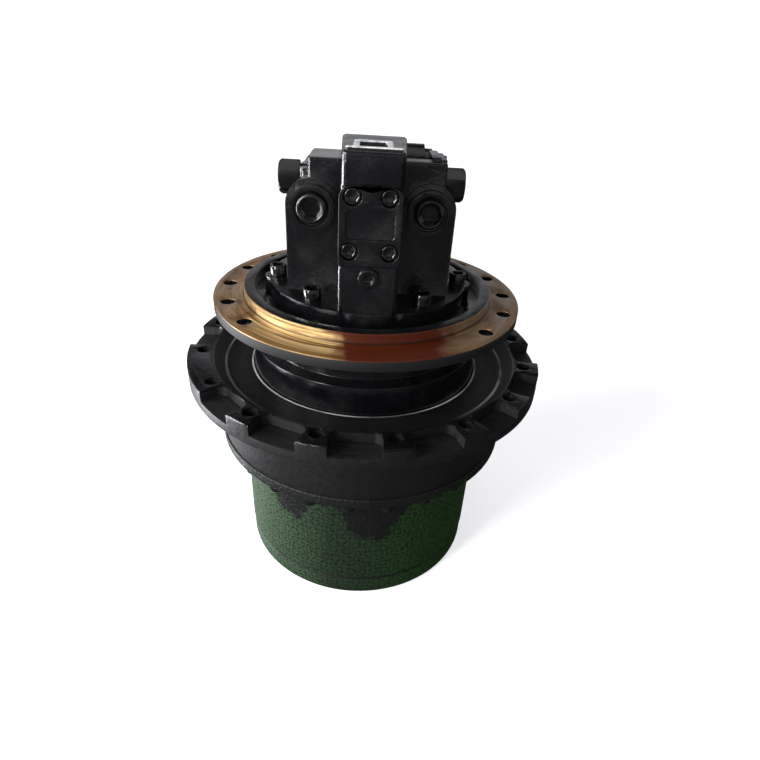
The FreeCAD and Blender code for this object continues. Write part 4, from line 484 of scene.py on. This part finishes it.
def cut_metal(name, light, dark, roughness, tool_mark):
    """Bare machined metal inside the drive: fine tool marks under a film of gear oil that has stained
    it unevenly."""
    material, tree = new_material(name)
    where = add(tree, "ShaderNodeTexCoord", output="Object")
    marks = add(tree, NOISE, {"Vector": where, "Scale": per_metre(tool_mark), "Detail": 3.0})
    stain = add(tree, NOISE, {"Vector": where, "Scale": per_metre(22), "Detail": 4.0, "Roughness": 0.6})
    finish_material(tree, {
        "Base Color": add(tree, MIX, {"Factor": add(tree, RANGE, between(stain, 0.35, 0.7)),
                                      6: linear(light), 7: linear(dark)}, 2, data_type="RGBA"),
        "Metallic": 1.0,
        "Roughness": add(tree, RANGE, between(marks, 0.3, 0.7, roughness - 0.08, roughness + 0.1)),
        "Normal": add(tree, BUMP, {"Height": marks, "Distance": 0.03 * MM, "Strength": 0.5})})
    return material


def nitrile():
    """Moulded nitrile rubber of the seals: matt black with a soft bloom."""
    material, tree = new_material("Moulded_Nitrile_Rubber")
    where = add(tree, "ShaderNodeTexCoord", output="Object")
    bloom = add(tree, NOISE, {"Vector": where, "Scale": per_metre(12), "Detail": 4.0, "Roughness": 0.6})
    finish_material(tree, {
        "Base Color": add(tree, MIX, {"Factor": bloom, 6: linear("#0b0b0b"), 7: linear("#1d1d1c")}, 2,
                          data_type="RGBA"),
        "Roughness": add(tree, RANGE, between(bloom, 0.3, 0.7, 0.6, 0.75)), "IOR": 1.52})
    return material


def dress(names, material):
    """Gives CAD nodes a material in place of their flat one."""
    for name in names:
        slots = nodes[name].data.materials
        slots.clear()
        slots.append(material)


def round_edges(name, width, segments=2, sharper_than=32):
    """Rounds the sharp edges of a CAD node with modifiers, and shades it smooth."""
    piece = nodes[name]
    weld = piece.modifiers.new("Weld", "WELD")
    weld.merge_threshold = 0.01 * MM
    flats = piece.modifiers.new("Flat faces", "DECIMATE")
    flats.decimate_type = "DISSOLVE"
    flats.angle_limit = math.radians(0.4)
    edges = piece.modifiers.new("Rounded edges", "BEVEL")
    edges.width = width
    edges.segments = segments
    edges.limit_method = "ANGLE"
    edges.angle_limit = math.radians(sharper_than)
    for face in piece.data.polygons:
        face.use_smooth = True


# --------------------------------------------------------------- mesh helpers
def solids_of(name):
    """Boxes, as (low, high), of the separate solids in a CAD node."""
    mesh = bmesh.new()
    mesh.from_mesh(nodes[name].data)
    bmesh.ops.remove_doubles(mesh, verts=mesh.verts, dist=0.01 * MM)
    boxes = []
    left = set(mesh.verts)
    while left:
        stack = [left.pop()]
        found = list(stack)
        while stack:
            for edge in stack.pop().link_edges:
                for vert in edge.verts:
                    if vert in left:
                        left.remove(vert)
                        stack.append(vert)
                        found.append(vert)
        low = Vector(min(v.co[axis] for v in found) for axis in range(3))
        high = Vector(max(v.co[axis] for v in found) for axis in range(3))
        boxes.append((low, high))
    mesh.free()
    return sorted(boxes, key=lambda box: (round(box[0].z, 4), round(box[0].x, 4), round(box[0].y, 4)))


def ring_of_points(mesh, place_at, radii, height):
    """One ring of vertices round an axis, with a radius for each step."""
    ring = []
    for step, radius in enumerate(radii):
        turn = 2 * math.pi * step / len(radii)
        ring.append(mesh.verts.new(place_at @ Vector((radius * math.cos(turn), radius * math.sin(turn),
                                                      height))))
    return ring


def lofted(mesh, place_at, sections, sides=48):
    """Closes rings of points into a skin; a section is (radius or radii, height), and a radius of 0
    closes the end to a point."""
    rings = []
    for radius, height in sections:
        if radius == 0:
            rings.append([mesh.verts.new(place_at @ Vector((0, 0, height)))] * sides)
        else:
            radii = radius if isinstance(radius, list) else [radius] * sides
            rings.append(ring_of_points(mesh, place_at, radii, height))
    for lower, upper in zip(rings, rings[1:]):
        for step in range(sides):
            after = (step + 1) % sides
            corners = list(dict.fromkeys([lower[step], lower[after], upper[after], upper[step]]))
            if len(corners) > 2:
                mesh.faces.new(corners)


def hexagon_radii(corner_radius, sides=48):
    """Distances from the centre to a hexagon's edge, one for each step of a circle."""
    radii = []
    for step in range(sides):
        turn = (2 * math.pi * step / sides) % (math.pi / 3) - math.pi / 6
        radii.append(corner_radius * math.cos(math.pi / 6) / math.cos(turn))
    return radii


def socket_head_screw(mesh, seat, size, grip, screws):
    """Cap screw with its head's underside at the seat: rolled rim, chamfered hexagon socket with a
    drilled point at its bottom, and a shank with a chamfered end."""
    shank, head, height = size
    chamfer = screws.head_chamfer
    socket = head * screws.socket_share
    floor = height * (1 - screws.socket_depth_share)
    mouth = socket * 1.1
    lofted(mesh, seat, [
        (0, -grip), (shank - chamfer, -grip), (shank, -grip + chamfer), (shank, 0),
        (head - chamfer / 3, 0), (head, chamfer / 3), (head, height - chamfer),
        (head - chamfer * 0.35, height - chamfer * 0.35), (head - chamfer, height), (mouth, height),
        (hexagon_radii(socket), height - mouth * 0.12), (hexagon_radii(socket), floor),
        (socket * 0.5, floor - socket * 0.05), (0, floor - socket * 0.3)])


def port_plug(mesh, seat, grip):
    """Shipping plug of a work port: domed rim, dished face and a wide hexagon socket."""
    sections = [(0, -grip), (12.2, -grip), (13, 0.8 - grip), (13, 0), (16.5, 0), (17, 0.5), (17, 5.2),
                (16.6, 6.8), (15.4, 7.8), (14, 8), (12.6, 7.6), (11.4, 6.4), (hexagon_radii(10.6), 5.4),
                (hexagon_radii(10.6), -6), (0, -7)]
    lofted(mesh, seat, [([part * MM for part in radius] if isinstance(radius, list) else radius * MM,
                         height * MM) for radius, height in sections])


def standing(origin, direction):
    """Matrix that puts a form's +Z along direction, with its origin at a point."""
    return Matrix.Translation(origin) @ direction.to_track_quat("Z", "Y").to_matrix().to_4x4()


def piece_from(mesh, name, material, smooth_angle=35):
    """Object made from a bmesh, shaded smooth up to an angle."""
    bmesh.ops.recalc_face_normals(mesh, faces=mesh.faces)
    data = bpy.data.meshes.new(name)
    mesh.to_mesh(data)
    mesh.free()
    data.shade_smooth()
    data.set_sharp_from_angle(angle=math.radians(smooth_angle))
    data.materials.append(material)
    piece = bpy.data.objects.new(name, data)
    bpy.context.scene.collection.objects.link(piece)
    return piece


def screws_for(node, name, heads_face, plain_head, size, material, screws):
    """Detailed screws, seated where a node's plain screws are."""
    size = [part * MM for part in size]
    mesh = bmesh.new()
    for low, high in solids_of(node):
        length = abs((high - low).dot(heads_face))
        grip = length - plain_head * MM
        seat = (low + high) / 2 + heads_face * (grip - length / 2)
        socket_head_screw(mesh, standing(seat, heads_face), size, grip, screws)
    piece = piece_from(mesh, name, material)
    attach(piece, nodes[node]["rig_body"])
    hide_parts(node)


# ------------------------------------------------------------------ operators
class DRIVE_OT_castings(bpy.types.Operator):
    """Paints the valve block and its cover plate in black enamel, and rounds their cast edges"""
    bl_idname = "drive.castings"
    bl_label = "Valve castings"

    def execute(self, context):
        paint = context.scene.drive_paint
        dress(["rear_cover", "valve_cover_plate"], casting_enamel(paint))
        round_edges("rear_cover", paint.edge_rounding, 3)
        round_edges("valve_cover_plate", paint.edge_rounding * 0.75, 3)
        return {"FINISHED"}


class DRIVE_OT_sealant(bpy.types.Operator):
    """Lays a bead of sealant in the hollow of the cover plate's upper edge"""
    bl_idname = "drive.sealant"
    bl_label = "Sealant"

    def execute(self, context):
        low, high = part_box("valve_cover_plate")
        half_width, half_height = 13 * MM, 3.4 * MM
        turns = [2 * math.pi * step / 48 for step in range(48)]
        outline = [half_width * half_height / math.hypot(half_height * math.cos(turn),
                                                         half_width * math.sin(turn)) for turn in turns]
        mesh = bmesh.new()
        back = Vector(((low.x + high.x) / 2, high.y, high.z - half_height))
        short_of_face = 0.4 * MM
        depth = high.y - low.y - short_of_face
        lofted(mesh, standing(back, FRONT), [
            (outline, 0), (outline, depth - 2 * MM), ([0.93 * part for part in outline], depth - 0.8 * MM),
            ([0.7 * part for part in outline], depth - 0.2 * MM), (0, depth)])
        bead = piece_from(mesh, "cover_sealant", casting_enamel(context.scene.drive_paint), 60)
        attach(bead, nodes["valve_cover_plate"]["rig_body"])
        return {"FINISHED"}


class DRIVE_OT_frame_flange(bpy.types.Operator):
    """Oils the turned frame flange and paints the rest of the spindle housing"""
    bl_idname = "drive.frame_flange"
    bl_label = "Frame flange"

    def execute(self, context):
        dress(["spindle_housing"], oiled_flange(context.scene.drive_oil, context.scene.drive_paint))
        round_edges("spindle_housing", 0.7 * MM)
        return {"FINISHED"}


class DRIVE_OT_sprocket_drum(bpy.types.Operator):
    """Paints the sprocket drum, glossy in its dish and satin on its wall"""
    bl_idname = "drive.sprocket_drum"
    bl_label = "Sprocket drum"

    def execute(self, context):
        dress(["sprocket_drum"], drum_enamel(context.scene.drive_paint))
        round_edges("sprocket_drum", 2 * MM, 3)
        return {"FINISHED"}


class DRIVE_OT_gear_case(bpy.types.Operator):
    """Paints the ring gear case and the end cover with the painted reflection of a green tread-plate floor"""
    bl_idname = "drive.gear_case"
    bl_label = "Gear case"

    def execute(self, context):
        scene = context.scene
        dress(["ring_gear", "end_cover"], gear_case_floor_reflection(scene.drive_case, scene.drive_paint))
        round_edges("ring_gear", 0.5 * MM)
        round_edges("end_cover", 0.8 * MM)
        return {"FINISHED"}


class DRIVE_OT_screws(bpy.types.Operator):
    """Makes the socket screws that show, in place of the plain ones"""
    bl_idname = "drive.screws"
    bl_label = "Screws"

    def execute(self, context):
        screws = context.scene.drive_screws
        black = fitting_enamel(context.scene.drive_paint)
        # Shank radius, head radius and head height, after the height of the node's plain head.
        m14, m12_low, m10 = (14, (7, 10.5, 14)), (6, (6, 8.6, 5)), (10, (5, 8, 10))
        screws_for("rear_cover_bolts", "base_screws", UP, *m14, black, screws)
        screws_for("valve_cover_bolts", "panel_screws", FRONT, *m12_low, black, screws)
        screws_for("ring_gear_bolts", "ring_screws", DOWN, *m14, black, screws)
        screws_for("end_cover_bolts", "cover_screws", DOWN, *m10, black, screws)
        return {"FINISHED"}


class DRIVE_OT_plugs(bpy.types.Operator):
    """Paints the plugs and caps, and rounds their edges"""
    bl_idname = "drive.plugs"
    bl_label = "Plugs"

    def execute(self, context):
        black = fitting_enamel(context.scene.drive_paint)
        names = ["left_spool_plug", "right_spool_plug", "speed_valve_cap", "small_port_plugs",
                 "end_cover_plugs"]
        dress(names, black)
        for name in names:
            round_edges(name, 0.7 * MM)
        mesh = bmesh.new()
        head = 8 * MM
        for low, high in solids_of("main_port_plugs"):
            seat = Vector(((low.x + high.x) / 2, low.y + head, (low.z + high.z) / 2))
            port_plug(mesh, standing(seat, FRONT), (high.y - low.y - head) / MM)
        plugs = piece_from(mesh, "work_port_plugs", black)
        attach(plugs, nodes["main_port_plugs"]["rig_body"])
        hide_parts("main_port_plugs")
        return {"FINISHED"}


class DRIVE_OT_inner_works(bpy.types.Operator):
    """Gives the gears, bearings, rotating group and valves their metals"""
    bl_idname = "drive.inner_works"
    bl_label = "Inner works"

    def execute(self, context):
        finishes = {
            "gear_steel": cut_metal("Ground_Carburised_Steel", "#8d8f92", "#5f6165", 0.3, 0.6),
            "machined_steel": cut_metal("Turned_Alloy_Steel", "#85878a", "#5a5c60", 0.36, 0.9),
            "bearing_steel": cut_metal("Lapped_Bearing_Steel", "#c4c6c9", "#9fa2a6", 0.14, 0.3),
            "spring_steel": cut_metal("Oil_Tempered_Spring_Steel", "#55575c", "#35363a", 0.42, 1.2),
            "bronze": cut_metal("Machined_Bronze", "#c08a45", "#8f6430", 0.32, 0.9),
            "seal_rubber": nitrile(),
        }
        for part in frame["record"]["subparts"]:
            if part["material_slot"] in finishes:
                dress([part["node"]], finishes[part["material_slot"]])
                round_edges(part["node"], 0.3 * MM, 1)
        return {"FINISHED"}


class DRIVE_OT_studio(bpy.types.Operator):
    """Builds the seamless floor, the soft lights and the camera"""
    bl_idname = "drive.studio"
    bl_label = "Studio"

    def execute(self, context):
        studio = context.scene.drive_studio
        make_floor(studio)
        make_lights(studio)
        make_sky()
        make_camera(studio)
        context.scene.view_settings.view_transform = "Standard"
        return {"FINISHED"}


# --------------------------------------------------------------------- studio
def make_floor(studio):
    """Seamless round floor that sweeps up into a wall. It glows a little, as a lit table does, and
    gloss paint doesn't mirror it, which keeps the black deep."""
    floor_radius, wall_radius, wall_height = 2.2, 3.2, 2.6
    steps = 12
    sections = [(0, 0), (floor_radius, 0)]
    for step in range(1, steps + 1):
        turn = math.pi / 2 * step / steps
        sections.append((floor_radius + (wall_radius - floor_radius) * math.sin(turn),
                         (wall_radius - floor_radius) * (1 - math.cos(turn))))
    sections.append((wall_radius, wall_height))
    mesh = bmesh.new()
    lofted(mesh, Matrix.Translation((0, 0, floor_height - 0.2 * MM)), sections, 96)
    material, tree = new_material("Painted_Studio_Floor")
    unevenness = add(tree, NOISE, {"Vector": add(tree, "ShaderNodeTexCoord", output="Object"),
                             "Scale": per_metre(400)})
    finish_material(tree, {
        "Base Color": add(tree, MIX, {"Factor": add(tree, RANGE, between(unevenness, 0.3, 0.7)),
                                      6: linear(studio.floor_colour), 7: linear("#c6c6c9")}, 2,
                          data_type="RGBA"),
        "Roughness": 0.8, "Specular IOR Level": 0.1, "Emission Color": linear("#fafafc"),
        "Emission Strength": studio.floor_glow})
    floor = piece_from(mesh, "studio_floor", material)
    floor.visible_glossy = False


def make_lights(studio):
    """Two tall windows on the left and a large soft light overhead."""
    lights = [("front_window", studio.window_power, (0.3, 0.8), (-1.07, -1.19, 0.5)),
              ("left_window", studio.window_power, (0.3, 0.8), (-1.56, -0.33, 0.5)),
              ("top_light", studio.top_power, (2.0, 1.4), (0.1, 0.2, 1.9))]
    for name, power, size, position in lights:
        light = bpy.data.lights.new(name, "AREA")
        light.energy = power
        light.shape = "RECTANGLE"
        light.size, light.size_y = size
        lamp = bpy.data.objects.new(name, light)
        lamp.location = position
        lamp.rotation_mode = "QUATERNION"
        lamp.rotation_quaternion = (Vector(position) - Vector((0, 0, -0.1))).to_track_quat("Z", "Y")
        lamp.visible_camera = False
        bpy.context.scene.collection.objects.link(lamp)


def make_sky():
    """Dim room with a bright band round its horizon and, on the left, the panes of light that the
    windows lay on the ground, which the gloss paint mirrors on its upright faces and edges."""
    world = bpy.data.worlds.new("Studio_Room")
    world.use_nodes = True
    bpy.context.scene.world = world
    tree = world.node_tree
    towards = add(tree, "ShaderNodeTexCoord", output="Generated")
    height = add(tree, SEPARATE, {"Vector": towards}, "Z")
    front_left = add(tree, VECTOR, {0: towards, 1: (-0.8, -0.6, 0.0)}, "Value", operation="DOT_PRODUCT")
    level = add(tree, VECTOR, {0: add(tree, VECTOR, {0: towards, 1: (1.0, 1.0, 0.0)},
                                      operation="MULTIPLY")}, operation="NORMALIZE")
    room = add(tree, RANGE, between(front_left, -0.5, 0.8, 0.03, 0.19), interpolation_type="SMOOTHSTEP")
    horizon = add(tree, RANGE, between(add(tree, MATH, {0: height}, operation="ABSOLUTE"), 0.3, 0.5,
                                       0.55, 0.0), interpolation_type="SMOOTHSTEP")
    above = add(tree, RANGE, between(height, -0.05, 0.05))
    # Heading, cosine of half the width, lowest and highest height, strength.
    panes = [((-0.995, 0.1, 0.0), 0.965, -0.42, -0.12, 45.0), ((-0.93, 0.37, 0.0), 0.95, -0.6, -0.46, 8.0),
             ((-0.99, -0.14, 0.0), 0.993, -0.57, -0.47, 16.0),
             ((-0.67, -0.74, 0.0), 0.993, -0.57, -0.47, 16.0)]
    glare = 0.0
    for heading, narrowness, low, high, strength in panes:
        softness = (1 - narrowness) / 2
        facing = add(tree, VECTOR, {0: level, 1: heading}, "Value", operation="DOT_PRODUCT")
        within = add(tree, RANGE, between(facing, narrowness - softness, narrowness + softness,
                                          0.0, strength))
        pane = add(tree, MATH, {0: add(tree, RANGE, between(height, low - 0.02, low + 0.02)),
                                1: add(tree, RANGE, between(height, high + 0.03, high - 0.03))},
                   operation="MULTIPLY")
        glare = add(tree, MATH, {0: within, 1: pane, 2: glare}, operation="MULTIPLY_ADD")
    light = add(tree, MATH, {0: horizon, 1: above, 2: room}, operation="MULTIPLY_ADD")
    background = tree.nodes["Background"]
    background.inputs["Color"].default_value = linear("#f4f6fb")
    tree.links.new(add(tree, MATH, {0: light, 1: glare}), background.inputs["Strength"])


def make_camera(studio):
    """Camera in front of the valve cover, above the drive and looking down on it."""
    pitch, yaw, roll = (math.radians(angle) for angle in (31.157, 1.736, 2.434))
    data = bpy.data.cameras.new("studio_camera")
    data.sensor_width = 36.0
    data.lens = studio.lens
    data.clip_start = 0.01
    camera = bpy.data.objects.new("studio_camera", data)
    camera.matrix_world = (Matrix.Translation((0.0, -0.6828, 0.27042))
                           @ Matrix.Rotation(math.pi / 2 - pitch, 4, "X") @ Matrix.Rotation(-yaw, 4, "Y")
                           @ Matrix.Rotation(roll, 4, "Z"))
    bpy.context.scene.collection.objects.link(camera)
    bpy.context.scene.camera = camera


# ---------------------------------------------------------------------- panel
class DRIVE_PT_panel(bpy.types.Panel):
    """Lists the steps that dress the final drive"""
    bl_idname = "DRIVE_PT_panel"
    bl_label = "Final Drive"
    bl_space_type = "VIEW_3D"
    bl_region_type = "UI"
    bl_category = "Final Drive"

    def draw(self, context):
        for operator in OPERATORS:
            self.layout.operator(operator.bl_idname)
        for name, group in SETTINGS.items():
            box = self.layout.box()
            for value in group.__annotations__:
                box.prop(getattr(context.scene, name), value)


SETTINGS = {"drive_paint": PaintSettings, "drive_oil": OilSettings, "drive_case": CaseSettings,
            "drive_screws": ScrewSettings, "drive_studio": StudioSettings}
OPERATORS = [DRIVE_OT_castings, DRIVE_OT_sealant, DRIVE_OT_frame_flange, DRIVE_OT_sprocket_drum,
             DRIVE_OT_gear_case, DRIVE_OT_screws, DRIVE_OT_plugs, DRIVE_OT_inner_works, DRIVE_OT_studio]
CLASSES = [*SETTINGS.values(), *OPERATORS, DRIVE_PT_panel]


def register():
    for item in CLASSES:
        bpy.utils.register_class(item)
    for name, group in SETTINGS.items():
        setattr(bpy.types.Scene, name, bpy.props.PointerProperty(type=group))


def unregister():
    for name in SETTINGS:
        delattr(bpy.types.Scene, name)
    for item in reversed(CLASSES):
        bpy.utils.unregister_class(item)


def main():
    register()
    bpy.ops.drive.castings()
    bpy.ops.drive.sealant()
    bpy.ops.drive.frame_flange()
    bpy.ops.drive.sprocket_drum()
    bpy.ops.drive.gear_case()
    bpy.ops.drive.screws()
    bpy.ops.drive.plugs()
    bpy.ops.drive.inner_works()
    bpy.ops.drive.studio()


if __name__ == "__main__":
    main()
